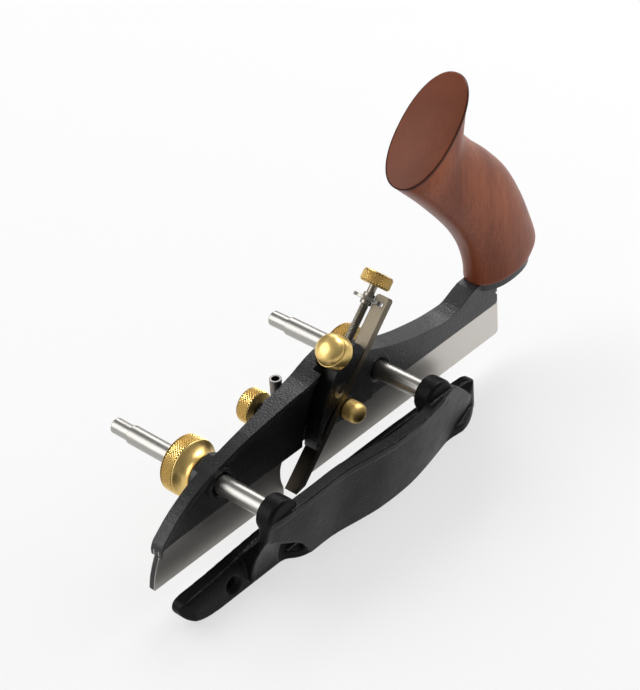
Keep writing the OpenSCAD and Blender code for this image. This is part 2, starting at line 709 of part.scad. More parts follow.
module depth_stop_knob() {
    color(brass)
        translate([stop_x, 0, stop_knob_z]) rotate([-90, 0, 0]) rotate_extrude()
            polygon([[0, stop_pad_y1], [stop_screw_r, stop_pad_y1], [stop_screw_r, 20.6],
                [stop_knob_r - 0.6, 20.6], [stop_knob_r, 21.2], [stop_knob_r, 26.6],
                [stop_knob_r - 0.6, 27.2], [3.4, 27.2], [3, 26.8], [0, 26.8]]);
}

module depth_stop_pad() {
    color(brass)
        along_y(stop_x, stop_knob_z, stop_y + stop_r + 0.05, stop_pad_y1, stop_screw_r);
}

// Plan line of the grip turned into a wall that leans outwards
module grip_wall(out, thick) {
    line = [for (p = curve(grip_line, 4)) [p[0], (p[1] - out) * cos(grip_lean)]];
    translate([0, 0, fence_z0])
        rotate([grip_lean, 0, 0])
            linear_extrude(54) polygon(concat(line, flip([for (p = line) p + [0, thick]])));
}

// Half space outside the grip where it passes a rod, a little inside its outer face
module beyond_grip(x) {
    translate([x, lookup(x, grip_line) + 0.4, fence_z0])
        rotate([grip_lean, 0, 0])
            translate([-far, -far, -far / 2]) cube([2 * far, far, far]);
}

// Boss with an eased inner end, and the post between it and the plate
module fence_pillar(x) {
    r = fence_boss_r;
    w = r - 0.25;
    y1 = fence_boss_y1;
    translate([x, 0, rod_z])
        rotate([90, 0, 0])
            rotate_extrude()
                polygon([[0, -y1], [r - 1.2, -y1], [r - 0.35, 0.35 - y1], [r, 1.2 - y1],
                    [r, -fence_boss_y0 - 1], [r - 1, -fence_boss_y0], [0, -fence_boss_y0]]);
    translate([x - w, 0, 0])
        rotate([90, 0, 90])
            linear_extrude(2 * w)
                polygon(concat(curve([[y1 - 2, rod_z], [y1 - 1.5, 21], [y1 - 0.3, 13], [y1 + 3.6, 7.4],
                        [y1 + 11.4, 3.6]], 3),
                    [[y1 + 12, -4]],
                    curve([[-21.6, -7.5], [-22, -3], [-24.6, 5], [-29.2, 14], [-33.6, 21],
                        [-34.6, rod_z]], 3)));
}

module fence_casting() {
    // Plate
    intersection() {
        slab(concat(curve(fence_top, 3), [[-6, 1.9], [6, 1.9]], curve(fence_top_rear, 3),
            [[97.5, fence_z0]]), fence_y0, fence_y1);
        translate([0, 0, -far]) linear_extrude(2 * far)
            polygon(concat(curve(fence_plan_toe, 3), curve(fence_plan_heel, 3)));
        translate([-far, 0, 0]) rotate([90, 0, 90]) linear_extrude(2 * far)
            polygon(concat([[-10, -far], [-19.4, -far]], curve(fence_section, 2), [[-10, 7]]));
    }
    // Wall of the grip
    intersection() {
        grip_wall(0, grip_t);
        slab(grip_side, -far, fence_y1 - 1);
    }
    // Rim along the top of the wall, from boss to boss
    intersection() {
        grip_wall(0.6, grip_t + 1.6);
        translate([-front_rod_x - fence_boss_r + 0.6, -far, rod_z - 2.6])
            cube([front_rod_x + fence_boss_r - 0.6 + rear_rod_x, far + fence_y0, 4.2]);
    }
    // Foot that closes the bottom between the wall and the plate
    translate([0, 0, fence_z0]) linear_extrude(4)
        polygon(concat([[-30, fence_y0 + 2]], curve(foot_line, 4), [[98.6, fence_y1], [90, fence_y1]]));
    for (x = rod_xs)
        difference() {
            fence_pillar(x);
            beyond_grip(x);
        }
}

module fence() {
    color(black)
        difference() {
            fence_casting();
            for (x = rod_xs)
                along_y(x, rod_z, fence_boss_y0 + 3, 0, rod_r);
            // Front screw hole for a longer face, sunk from the outside, and the tapped rear one
            along_y(face_hole_xs[0], face_hole_z, -30, 0, face_hole_r);
            along_y(face_hole_xs[0], face_hole_z, fence_y0 - 0.01, fence_y0 + 2.2, 4.3, face_hole_r);
            along_y(face_hole_xs[1], face_hole_z, fence_y0 + 1.2, 0, face_hole_r);
        }
}

body();
handle();
handle_insert();
handle_screw();
handle_pin();
iron();
lever_cap();
lever_cap_screw();
lever_cap_stud();
lever_cap_knob();
side_clamp_screw();
adjuster_collar();
adjuster_screw();
adjuster_knob();
fence();
rod(rod_xs[0]);  // front_rod
rod(rod_xs[1]);  // rear_rod
collet(rod_xs[0]);  // front_collet
collet(rod_xs[1]);  // rear_collet
collet_knob(rod_xs[0]);  // front_collet_knob
collet_knob(rod_xs[1]);  // rear_collet_knob
depth_stop_post();
depth_stop_shoe();
depth_stop_shoe_screw();
depth_stop_knob();
depth_stop_pad();
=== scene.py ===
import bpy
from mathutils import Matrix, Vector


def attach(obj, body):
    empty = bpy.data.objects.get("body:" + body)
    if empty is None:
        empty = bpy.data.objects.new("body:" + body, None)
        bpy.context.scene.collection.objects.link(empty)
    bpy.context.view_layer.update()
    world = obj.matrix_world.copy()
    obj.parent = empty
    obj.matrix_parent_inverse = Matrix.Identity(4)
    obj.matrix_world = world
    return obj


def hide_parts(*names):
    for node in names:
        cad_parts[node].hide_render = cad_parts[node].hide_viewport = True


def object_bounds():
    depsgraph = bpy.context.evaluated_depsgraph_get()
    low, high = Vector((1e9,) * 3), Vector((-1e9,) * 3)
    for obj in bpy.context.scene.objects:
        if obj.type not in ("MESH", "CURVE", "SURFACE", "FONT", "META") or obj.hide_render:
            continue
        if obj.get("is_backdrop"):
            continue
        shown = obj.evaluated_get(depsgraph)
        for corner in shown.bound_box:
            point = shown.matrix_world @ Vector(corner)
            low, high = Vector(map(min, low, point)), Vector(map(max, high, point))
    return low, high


bl_info = {
    "name": "Plough plane dressing",
    "version": (1, 0, 0),
    "blender": (4, 5, 0),
    "location": "3D View > Sidebar > Plough plane",
    "description": "Castings, turned brass, wooden handle, finishes and studio for a one-handed plough plane",
    "category": "Add Mesh",
}

import math

import bmesh
import bpy
from bpy.props import FloatProperty, FloatVectorProperty, IntProperty, PointerProperty
from mathutils import Matrix, Vector

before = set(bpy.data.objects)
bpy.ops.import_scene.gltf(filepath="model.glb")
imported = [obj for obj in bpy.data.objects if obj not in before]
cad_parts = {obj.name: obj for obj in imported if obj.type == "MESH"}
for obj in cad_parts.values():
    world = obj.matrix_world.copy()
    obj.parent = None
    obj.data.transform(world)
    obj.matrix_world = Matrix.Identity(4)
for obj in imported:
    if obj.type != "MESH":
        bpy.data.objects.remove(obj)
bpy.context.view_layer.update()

MM = 0.001
# Image height of the photograph, in pixels
PHOTO_HEIGHT = 690
# The bed of the iron rises at this angle, in degrees: u runs up it, n off its face
BED_ANGLE = 45
UP_BED = Vector((1, 0, 1)).normalized()
OFF_BED = Vector((-1, 0, 1)).normalized()
ALONG_RODS = Vector((0, 1, 0))


def bed_point(u, n, y):
    """A point given up the bed, off the iron's face and across, in millimetres."""
    return (UP_BED * u + OFF_BED * n + Vector((0, y, 0))) * MM


# Places of the turned pieces, as in the CAD
FRONT_ROD = Vector((-37.2, 0, 27.6)) * MM
REAR_ROD = Vector((53.5, 0, 27.6)) * MM
DEPTH_STOP_KNOB = Vector((7.8, 0, 24.1)) * MM
LEVER_CAP_KNOB = bed_point(56.3, 11.7, -1.75)
SIDE_CLAMP = bed_point(38, -6.9, -5.0)
HANDLE_INSERT = Vector((0.142, 0.001, 0.04))
# The feed screw's axis lies this far off the bed and across, in millimetres
FEED_OFF_BED = 0.5
FEED_ACROSS = 4.2
FEED_SCREW = bed_point(0, FEED_OFF_BED, FEED_ACROSS)
# Its knob and its thread start this far up the bed
FEED_KNOB = bed_point(86.6, FEED_OFF_BED, FEED_ACROSS)
FEED_THREAD = bed_point(50.6, FEED_OFF_BED, FEED_ACROSS)
# The thread's length, the radius of its root and the reach of its ridge, in millimetres
THREAD_LENGTH = 27.2
THREAD_ROOT = 1.5
THREAD_RIDGE = 0.36
# Steps in one turn of the thread
THREAD_STEPS = 28

# Up to where the iron's end has full painted shade, and from where it has none, in metres up the bed
IRON_SHADE_FULL_TO = 0.016
IRON_UNSHADED_FROM = 0.030
# The skate's ground sides lie between two distances from its middle, and its ground sole below a height
SKATE_INNER = 0.0011
SKATE_OUTER = 0.00146
SOLE_TOP = 0.0003
# Along the plane the paint and the ground steel are painted lighter, as light falls towards the heel, and
# both are fully so at the heel
PAINT_LIGHT_START = 0.015
STEEL_LIGHT_START = 0.03
HEEL_LIGHT_FULL = 0.085
# Rounding of the steel pieces' edges, in metres, and the samples that a soft edge takes
IRON_EDGE = 0.0003
ROD_EDGE = 0.00025
SCREW_EDGE = 0.0002
BEVEL_SAMPLES = 6
# Depths of scratches and pores, in metres
FINE_SCRATCH = 0.00002
SCRATCH = 0.00003
PORE_DEPTH = 0.00005

# Edges sharper than these angles, in degrees, stay crisp
TURNED_CREASE = 30
HANDLE_CREASE = 40
PAPER_CREASE = 35
# Radius of the flat on a knurl's point, in metres, and how far the points reach into each other
KNURL_FLAT = 0.00004
KNURL_OVERLAP = 1.03
# The fence: loose corners closer than this are one, and each pass eases its corners by this share
WELD = 1e-7
EASE_SHARE = 0.5
EASE_PASSES = 14

# Colours of single pieces
IRON_LOW = (0.13, 0.11, 0.08)
IRON_HIGH = (0.17, 0.144, 0.106)
# Painted shade on the iron's lower end
IRON_SHADE_COLOUR = (0.02, 0.016, 0.013)
FEED_STEEL = (0.30, 0.275, 0.23)
COLLAR_STEEL = (0.36, 0.345, 0.31)
COLLET_STEEL = (0.42, 0.41, 0.39)
PIVOT_STEEL = (0.42, 0.40, 0.37)
# Painted shade in the roots of a knurl
KNURL_ROOT_SHADE = (0.15, 0.09, 0.035)
SAWN_WOOD = (0.165, 0.036, 0.009)

# Noise patterns: waves to the metre, detail and the roughness of the detail
PAINT_WEAR = (55, 4.0, 0.6)
PAINT_SPECKLE = (900, 2.0, 0.5)
STEEL_CLOUD = (26, 3.0, 0.5)
IRON_CLOUD = (110, 3.0, 0.5)
BRASS_CLOUD = (140, 3.0, 0.5)
ROD_SPOTS = (300, 2.0, 0.5)
SCREW_SPOTS = (700, 3.0, 0.5)
WOOD_BANDS = (70, 3.0, 0.55)
WOOD_LINES = (1100, 4.0, 0.65)
WOOD_PORES = (2600, 1.0, 0.4)
PAPER_GRAIN = (900, 3.0, 0.5)
# Scratches are noise that is stretched: waves to the metre along each axis, then the noise itself
GROUND_STRETCH = (14, 1600, 1600)
GROUND_SCRATCH = (1.0, 4.0, 0.7)
IRON_STRETCH = (30, 2200, 2200)
ROD_STRETCH = (2200, 30, 2200)
DRAWN_SCRATCH = (1.0, 3.0, 0.6)
# The part of a noise that is spread out
NOISE_MIDDLE = (0.3, 0.7)
# Lathe rings to the metre
LATHE_RINGS = 5200.0
# Lean of the wood's grain, in degrees, and its waves along the grain for one across
WOOD_LEAN = 27
ALONG_BANDS = 0.11
ALONG_LINES = 0.02
ALONG_PORES = 0.06


# Settings


class CastingSettings(bpy.types.PropertyGroup):
    paint: FloatVectorProperty(name="Paint", description="Colour of the black castings", subtype="COLOR",
                               size=3, min=0, max=1, default=(0.0042, 0.0042, 0.0046))
    sheen: FloatProperty(name="Roughness", description="How matt the paint is", min=0.1, max=1, default=0.34)
    grain: FloatProperty(name="Grain size", description="Size of the bumps that the sand mould leaves",
                         unit="LENGTH", min=0.0002, max=0.004, default=0.0008)
    grain_depth: FloatProperty(name="Grain depth", description="Height of those bumps", unit="LENGTH",
                               min=0, max=0.001, default=0.00013)
    edge: FloatProperty(name="Edge", description="Rounding of the castings' edges", unit="LENGTH",
                        min=0.0001, max=0.002, default=0.00045)
    voxel: FloatProperty(name="Fillet size", description="Mesh cell of the fence: larger cells round it more",
                         unit="LENGTH", min=0.0003, max=0.002, default=0.00036)
    steel: FloatVectorProperty(name="Ground steel", description="Colour of the bare skate", subtype="COLOR",
                               size=3, min=0, max=1, default=(0.50, 0.475, 0.445))
    bare_height: FloatProperty(name="Bare height", description="Height of the bare skate above the sole",
                               unit="LENGTH", min=0.01, max=0.02, default=0.01655)


class BrassSettings(bpy.types.PropertyGroup):
    colour: FloatVectorProperty(name="Brass", description="Colour of the turned brass", subtype="COLOR",
                                size=3, min=0, max=1, default=(0.86, 0.615, 0.225))
    roughness: FloatProperty(name="Roughness", description="Roughness of the turned faces", min=0.02, max=1,
                             default=0.36)
    segments: IntProperty(name="Segments", description="Sides of a turned piece", min=24, max=256,
                          default=120)
    knurl_pitch: FloatProperty(name="Knurl pitch", description="Distance round the rim between two diamonds",
                               unit="LENGTH", min=0.0005, max=0.003, default=0.00125)
    knurl_depth: FloatProperty(name="Knurl depth", description="Height of one diamond of the knurl",
                               unit="LENGTH", min=0.0001, max=0.001, default=0.00042)


class SteelSettings(bpy.types.PropertyGroup):
    bright: FloatVectorProperty(name="Bright steel", description="Colour of the two rods",
                                subtype="COLOR", size=3, min=0, max=1, default=(0.40, 0.39, 0.365))
    dark: FloatVectorProperty(name="Dark steel", description="Colour of the screws and the post",
                              subtype="COLOR", size=3, min=0, max=1, default=(0.16, 0.155, 0.15))
    thread_pitch: FloatProperty(name="Thread pitch", description="Pitch of the feed screw", unit="LENGTH",
                                min=0.0003, max=0.002, default=0.0007)


class HandleSettings(bpy.types.PropertyGroup):
    wood: FloatVectorProperty(name="Wood", description="Lighter colour of the wood", subtype="COLOR", size=3,
                              min=0, max=1, default=(0.43, 0.117, 0.043))
    dark_wood: FloatVectorProperty(name="Dark grain", description="Darker colour of the wood",
                                   subtype="COLOR", size=3, min=0, max=1, default=(0.088, 0.017, 0.0075))
    sides: IntProperty(name="Sides", description="Points round one section of the handle", min=24, max=256,
                       default=112)
    steps: IntProperty(name="Steps", description="Steps between two sections of the handle", min=1, max=16,
                       default=7)
    edge: FloatProperty(name="Edge", description="Rounding of the cut top's edge", unit="LENGTH",
                        min=0.0001, max=0.002, default=0.0009)


class StudioSettings(bpy.types.PropertyGroup):
    lens_pixels: FloatProperty(name="Lens", description="Focal length in pixels of the photograph",
                               min=500, max=9000, default=2122.5)
    heading: FloatProperty(name="Heading", description="Azimuth of the camera", subtype="ANGLE",
                           default=math.radians(-45.14))
    height_angle: FloatProperty(name="Elevation", description="Elevation of the camera", subtype="ANGLE",
                                default=math.radians(36.31))
    roll: FloatProperty(name="Roll", description="Turn of the camera about its axis", subtype="ANGLE",
                        default=math.radians(-4.53))
    place: FloatVectorProperty(name="Place", description="Where the camera stands", subtype="TRANSLATION",
                               unit="LENGTH", size=3, default=(-0.4463, -0.4678, 0.5433))
    paper: FloatVectorProperty(name="Paper", description="Colour of the floor and the background",
                               subtype="COLOR", size=3, min=0, max=1, default=(0.94, 0.94, 0.94))
    paper_share: FloatProperty(name="Paper share", description="How much of the light the paper sends back",
                               min=0, max=1, default=0.37)
    paper_glow: FloatProperty(name="Paper glow", description="How much the paper is lit from behind",
                              min=0, max=1, default=0.675)
    key_power: FloatProperty(name="Key light", description="Power of the softbox behind the heel",
                             unit="POWER", min=0, max=500, default=24)
    toe_power: FloatProperty(name="Toe light", description="Power of the card behind the toe",
                             unit="POWER", min=0, max=500, default=50)
    glint_power: FloatProperty(name="Edge light", description="Power of the card that edges shine with",
                               unit="POWER", min=0, max=500, default=22)
    fill_power: FloatProperty(name="Fill light", description="Power of the softbox that throws the shadow",
                              unit="POWER", min=0, max=500, default=98)
    side_power: FloatProperty(name="Side light", description="Power of the strip light at the heel",
                              unit="POWER", min=0, max=500, default=3.2)


# Small tools


def flow(points, steps):
    """A smooth line through the points, with this many steps from each to the next."""
    line = []
    last = len(points) - 1
    for i in range(last):
        a, b, c, d = points[max(i - 1, 0)], points[i], points[i + 1], points[min(i + 2, last)]
        for j in range(steps):
            t = j / steps
            line.append(tuple(
                (2 * q + (r - p) * t + (2 * p - 5 * q + 4 * r - s) * t * t
                 + (3 * q - p - 3 * r + s) * t ** 3) / 2
                for p, q, r, s in zip(a, b, c, d)))
    line.append(tuple(points[last]))
    return line


def tinted(colour, share):
    """A colour made lighter or darker, never past white."""
    return tuple(min(1, part * share) for part in colour)


def link_object(name, data):
    piece = bpy.data.objects.new(name, data)
    bpy.context.scene.collection.objects.link(piece)
    return piece


def make_object(name, bm, material, crease):
    """A smooth piece, creased wherever two faces meet at more than this angle, in degrees."""
    bmesh.ops.recalc_face_normals(bm, faces=bm.faces)
    for face in bm.faces:
        face.smooth = True
    for edge in bm.edges:
        edge.smooth = len(edge.link_faces) == 2 and edge.calc_face_angle(0) < math.radians(crease)
    mesh = bpy.data.meshes.new(name)
    bm.to_mesh(mesh)
    bm.free()
    mesh.materials.append(material)
    return link_object(name, mesh)


def plain_mesh(piece, name, smooth):
    """The mesh that a piece's modifiers make. The piece itself is removed."""
    bpy.context.view_layer.update()
    mesh = bpy.data.meshes.new_from_object(piece.evaluated_get(bpy.context.evaluated_depsgraph_get()))
    bpy.data.objects.remove(piece)
    if not mesh.polygons:
        raise RuntimeError(f"{name}: no faces were made")
    mesh.name = name
    mesh.polygons.foreach_set("use_smooth", [smooth] * len(mesh.polygons))
    return mesh


def axis_matrix(origin, axis):
    """Places a piece that was turned about its own Z on an axis of the plane."""
    return Matrix.Translation(origin) @ axis.to_track_quat("Z", "Y").to_matrix().to_4x4()


def turned_piece(name, profile, origin, axis, material, segments):
    """A piece turned on a lathe. The profile is radius and height in millimetres; a radius of 0 closes it."""
    bm = bmesh.new()
    rings = []
    for radius, height in profile:
        if radius == 0:
            rings.append([bm.verts.new((0, 0, height * MM))])
        else:
            rings.append([bm.verts.new((radius * MM * math.cos(2 * math.pi * k / segments),
                                        radius * MM * math.sin(2 * math.pi * k / segments), height * MM))
                          for k in range(segments)])
    pairs = list(zip(rings, rings[1:]))
    if len(rings[0]) > 1:
        # A profile that doesn't reach the axis is a ring, so it closes on itself
        pairs.append((rings[-1], rings[0]))
    for low, high in pairs:
        for k in range(segments):
            m = (k + 1) % segments
            if len(low) == 1:
                bm.faces.new((low[0], high[m], high[k]))
            elif len(high) == 1:
                bm.faces.new((low[k], low[m], high[0]))
            else:
                bm.faces.new((low[k], low[m], high[m], high[k]))
    bm.transform(axis_matrix(origin, axis))
    return make_object(name, bm, material, TURNED_CREASE)


def hand_over(piece, body, slot_name, *nodes):
    """Puts a piece on its body, in the place of these CAD nodes."""
    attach(piece, body)
    if nodes:
        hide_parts(*nodes)


# Finishes


def feed(tree, socket, value):
    """Joins an output to a socket, or writes a number or a colour on it."""
    if isinstance(value, bpy.types.NodeSocket):
        tree.links.new(value, socket)
    elif isinstance(value, tuple):
        socket.default_value = (*value, 1)
    elif value is not None:
        socket.default_value = value


def sum_of(tree, operation, a, b=None):
    """A sum on one number or two in a node tree."""
    node = tree.nodes.new("ShaderNodeMath")
    node.operation = operation
    feed(tree, node.inputs[0], a)
    feed(tree, node.inputs[1], b)
    return node.outputs[0]


def mixed(tree, amount, first, second):
    """A mix of two shaders in a node tree."""
    node = tree.nodes.new("ShaderNodeMixShader")
    for source, socket in zip((amount, first, second), node.inputs):
        tree.links.new(source, socket)
    return node.outputs[0]


class Finish:
    """Builds the node tree of one material, step by step."""

    def __init__(self, name):
        self.material = bpy.data.materials.new(name)
        self.material.use_nodes = True
        self.tree = self.material.node_tree
        self.tree.nodes.clear()
        self.output = self.add("ShaderNodeOutputMaterial")
        self.place = self.add("ShaderNodeTexCoord").outputs["Object"]

    def add(self, kind, **options):
        node = self.tree.nodes.new(kind)
        for key, value in options.items():
            setattr(node, key, value)
        return node

    def join(self, source, target):
        self.tree.links.new(source, target)

    def sum(self, operation, a, b=None):
        return sum_of(self.tree, operation, a, b)

    def product(self, a, b):
        return self.sum("MULTIPLY", a, b)

    def parts(self, vector):
        node = self.add("ShaderNodeSeparateXYZ")
        self.join(vector, node.inputs[0])
        return node.outputs

    def mapping(self, stretch, turn=(0, 0, 0)):
        node = self.add("ShaderNodeMapping")
        self.join(self.place, node.inputs["Vector"])
        node.inputs["Rotation"].default_value = turn
        node.inputs["Scale"].default_value = stretch
        return node.outputs[0]

    def offset_from(self, place):
        """Where a point lies, seen from this place."""
        node = self.add("ShaderNodeVectorMath", operation="SUBTRACT")
        self.join(self.place, node.inputs[0])
        node.inputs[1].default_value = place
        return node.outputs[0]

    def reach_along(self, offset, axis):
        """How far an offset reaches along an axis, in metres."""
        node = self.add("ShaderNodeVectorMath", operation="DOT_PRODUCT")
        self.join(offset, node.inputs[0])
        node.inputs[1].default_value = axis
        return node.outputs["Value"]

    def depth_below(self, place, upward):
        """Depth of a point under a plane, in metres."""
        return self.product(self.reach_along(self.offset_from(place), upward), -1.0)

    def noise(self, vector, scale, detail, roughness):
        node = self.add("ShaderNodeTexNoise")
        self.join(vector, node.inputs["Vector"])
        node.inputs["Scale"].default_value = scale
        node.inputs["Detail"].default_value = detail
        node.inputs["Roughness"].default_value = roughness
        return node.outputs["Fac"]

    def range(self, value, low, high, to_low, to_high, kind="LINEAR"):
        node = self.add("ShaderNodeMapRange", interpolation_type=kind)
        self.join(value, node.inputs["Value"])
        for key, number in (("From Min", low), ("From Max", high), ("To Min", to_low), ("To Max", to_high)):
            node.inputs[key].default_value = number
        return node.outputs["Result"]

    def spread(self, noise, to_low, to_high):
        """Spreads the middle of a noise between two values."""
        return self.range(noise, *NOISE_MIDDLE, to_low, to_high)

    def blend(self, amount, a, b):
        node = self.add("ShaderNodeMix", data_type="RGBA")
        for key, value in (("Factor", amount), ("A", a), ("B", b)):
            feed(self.tree, node.inputs[key], value)
        return node.outputs["Result"]

    def bump(self, height, distance, strength, under=None):
        """A relief of this height in metres, over another normal where one is given."""
        node = self.add("ShaderNodeBump")
        node.inputs["Strength"].default_value = strength
        node.inputs["Distance"].default_value = distance
        self.join(height, node.inputs["Height"])
        if under is not None:
            self.join(under, node.inputs["Normal"])
        return node.outputs[0]

    def soft_edges(self, radius):
        node = self.add("ShaderNodeBevel", samples=BEVEL_SAMPLES)
        node.inputs["Radius"].default_value = radius
        return node.outputs[0]

    def surface(self, colour, roughness, normal, metal=0.0, coat=0.0, coat_roughness=0.2, specular=0.5,
                anisotropy=0.0):
        shader = self.add("ShaderNodeBsdfPrincipled")
        feed(self.tree, shader.inputs["Base Color"], colour)
        feed(self.tree, shader.inputs["Roughness"], roughness)
        self.join(normal, shader.inputs["Normal"])
        for key, number in (("Metallic", metal), ("Coat Weight", coat), ("Coat Roughness", coat_roughness),
                            ("Specular IOR Level", specular), ("Anisotropic", anisotropy)):
            shader.inputs[key].default_value = number
        return shader.outputs[0]

    def finish(self, shader):
        self.join(shader, self.output.inputs["Surface"])
        return self.material


def settings():
    return bpy.context.scene.plough_plane


def cast_grain(work, edge=None):
    """The pebbled skin of a painted sand casting, over edges that this radius rounds."""
    s = settings().casting
    under = work.soft_edges(edge) if edge else None
    fine = work.noise(work.place, 1 / s.grain, 2.0, 0.55)
    broad = work.noise(work.place, 0.22 / s.grain, 1.0, 0.5)
    height = work.sum("ADD", work.range(fine, 0.3, 0.75, 0, 1), work.product(broad, 0.6))
    return work.bump(height, s.grain_depth, 0.8, under)


def speckled(work, low, high):
    """The castings' paint, speckled between two shares of its colour."""
    paint = settings().casting.paint
    return work.blend(work.noise(work.place, *PAINT_SPECKLE), tinted(paint, low), tinted(paint, high))


def painted(work, colour, specular, edge=None):
    """Shader of paint on a casting, more and less worn."""
    sheen = settings().casting.sheen
    roughness = work.spread(work.noise(work.place, *PAINT_WEAR), sheen - 0.06, sheen + 0.08)
    return work.surface(colour, roughness, cast_grain(work, edge), specular=specular)


def black_casting(name, specular, edge=None):
    work = Finish(name)
    return work.finish(painted(work, speckled(work, 1, 1.9), specular, edge))


def ground_steel(work, radius):
    """Steel that was ground along the plane, with a fine scratch pattern, and painted lighter at the heel,
    where light falls.
    """
    tint = settings().casting.steel
    scratch = work.noise(work.mapping(GROUND_STRETCH), *GROUND_SCRATCH)
    cloud = work.noise(work.place, *STEEL_CLOUD)
    # Painted light: the steel is lighter towards the heel
    heel = work.range(work.parts(work.place)[0], STEEL_LIGHT_START, HEEL_LIGHT_FULL, 0, 1)
    grey = work.blend(cloud, tinted(tint, 0.84), tinted(tint, 1))
    lit_steel = work.blend(cloud, tinted(tint, 1.16), tinted(tint, 1.34))
    roughness = work.range(scratch, 0.25, 0.75, 0.30, 0.44)
    normal = work.bump(scratch, SCRATCH, 0.35, work.soft_edges(radius))
    return work.surface(work.blend(heel, grey, lit_steel), roughness, normal, metal=1.0, anisotropy=0.35)


def body_finish():
    """Black casting above, and below it the skate with bare ground sides and sole."""
    s = settings().casting
    work = Finish("Body casting and skate")
    x, y, z = work.parts(work.place)
    # Painted light: the paint is lighter towards the heel
    colour = work.blend(work.range(x, PAINT_LIGHT_START, HEEL_LIGHT_FULL, 0, 1), speckled(work, 1, 1.9),
                        speckled(work, 6, 12))
    paint = painted(work, colour, 0.42, s.edge)
    across = work.sum("ABSOLUTE", y)
    thin = work.sum("LESS_THAN", across, SKATE_OUTER)
    side = work.product(thin, work.sum("GREATER_THAN", across, SKATE_INNER))
    sole = work.product(thin, work.sum("LESS_THAN", z, SOLE_TOP))
    bare = work.product(work.sum("LESS_THAN", z, s.bare_height), work.sum("MAXIMUM", side, sole))
    return work.finish(mixed(work.tree, bare, paint, ground_steel(work, s.edge * 0.6)))


def iron_finish():
    """The iron: ground along its length, with painted shade towards its cutting edge."""
    work = Finish("Ground iron")
    turned = work.mapping(IRON_STRETCH, (0, math.radians(BED_ANGLE), 0))
    scratch = work.noise(turned, *DRAWN_SCRATCH)
    cloud = work.noise(work.place, *IRON_CLOUD)
    up_bed = work.reach_along(work.place, UP_BED)
    # Painted shade, full at the iron's lower end
    shade = work.product(work.range(up_bed, IRON_SHADE_FULL_TO, IRON_UNSHADED_FROM, 1, 0), 0.9)
    colour = work.blend(shade, work.blend(cloud, IRON_LOW, IRON_HIGH), IRON_SHADE_COLOUR)
    normal = work.bump(scratch, FINE_SCRATCH, 0.35, work.soft_edges(IRON_EDGE))
    return work.finish(work.surface(colour, work.spread(scratch, 0.34, 0.48), normal, metal=1.0))


def turned_brass(name, origin, axis, knurl=None, duller=0.0):
    """Brass with fine rings from the lathe. Where a knurl is given, painted shade darkens its roots."""
    s = settings().brass
    work = Finish(name)
    offset = work.offset_from(origin)
    height = work.reach_along(offset, axis)
    measure = work.add("ShaderNodeVectorMath", operation="LENGTH")
    work.join(offset, measure.inputs[0])
    length = measure.outputs["Value"]
    squared = work.sum("SUBTRACT", work.product(length, length), work.product(height, height))
    radius = work.sum("SQRT", work.sum("MAXIMUM", squared, 0.0))
    lathe = work.add("ShaderNodeTexNoise", noise_dimensions="1D")
    slant = work.sum("ADD", radius, work.product(height, 0.8))
    work.join(work.product(slant, LATHE_RINGS), lathe.inputs["W"])
    lathe.inputs["Scale"].default_value = 1.0
    lathe.inputs["Detail"].default_value = 2.0
    rings = lathe.outputs["Fac"]
    cloud = work.spread(work.noise(work.place, *BRASS_CLOUD), 0, 1)
    colour = work.blend(cloud, tinted(s.colour, 0.93), tuple(s.colour))
    roughness = work.spread(rings, s.roughness - 0.04 + duller, s.roughness + 0.07 + duller)
    if knurl:
        root, tip, low, high = (size * MM for size in knurl)
        # Painted shade in the knurl's roots, darkest at the root radius
        depth = work.range(radius, tip, root, 0.0, 1.0, "SMOOTHSTEP")
        band = work.product(work.sum("GREATER_THAN", height, low), work.sum("LESS_THAN", height, high))
        colour = work.blend(work.product(work.product(depth, band), 0.82), colour, KNURL_ROOT_SHADE)
    return work.finish(work.surface(colour, roughness, work.bump(rings, FINE_SCRATCH, 0.5), metal=1.0))


def rod_steel(name, colour, matt):
    """Steel whose scratches run along the rods."""
    work = Finish(name)
    scratch = work.noise(work.mapping(ROD_STRETCH), *DRAWN_SCRATCH)
    tint = work.blend(work.noise(work.place, *ROD_SPOTS), tinted(colour, 0.92), tuple(colour))
    normal = work.bump(scratch, FINE_SCRATCH, 0.35, work.soft_edges(ROD_EDGE))
    return work.finish(work.surface(tint, work.spread(scratch, matt - 0.03, matt + 0.06), normal, metal=1.0))


def dark_steel(name):
    work = Finish(name)
    spots = work.noise(work.place, *SCREW_SPOTS)
    tint = settings().steel.dark
    colour = work.blend(spots, tinted(tint, 0.8), tinted(tint, 1.25))
    normal = work.bump(spots, SCRATCH, 0.3, work.soft_edges(SCREW_EDGE))
    return work.finish(work.surface(colour, work.spread(spots, 0.26, 0.4), normal, metal=1.0))


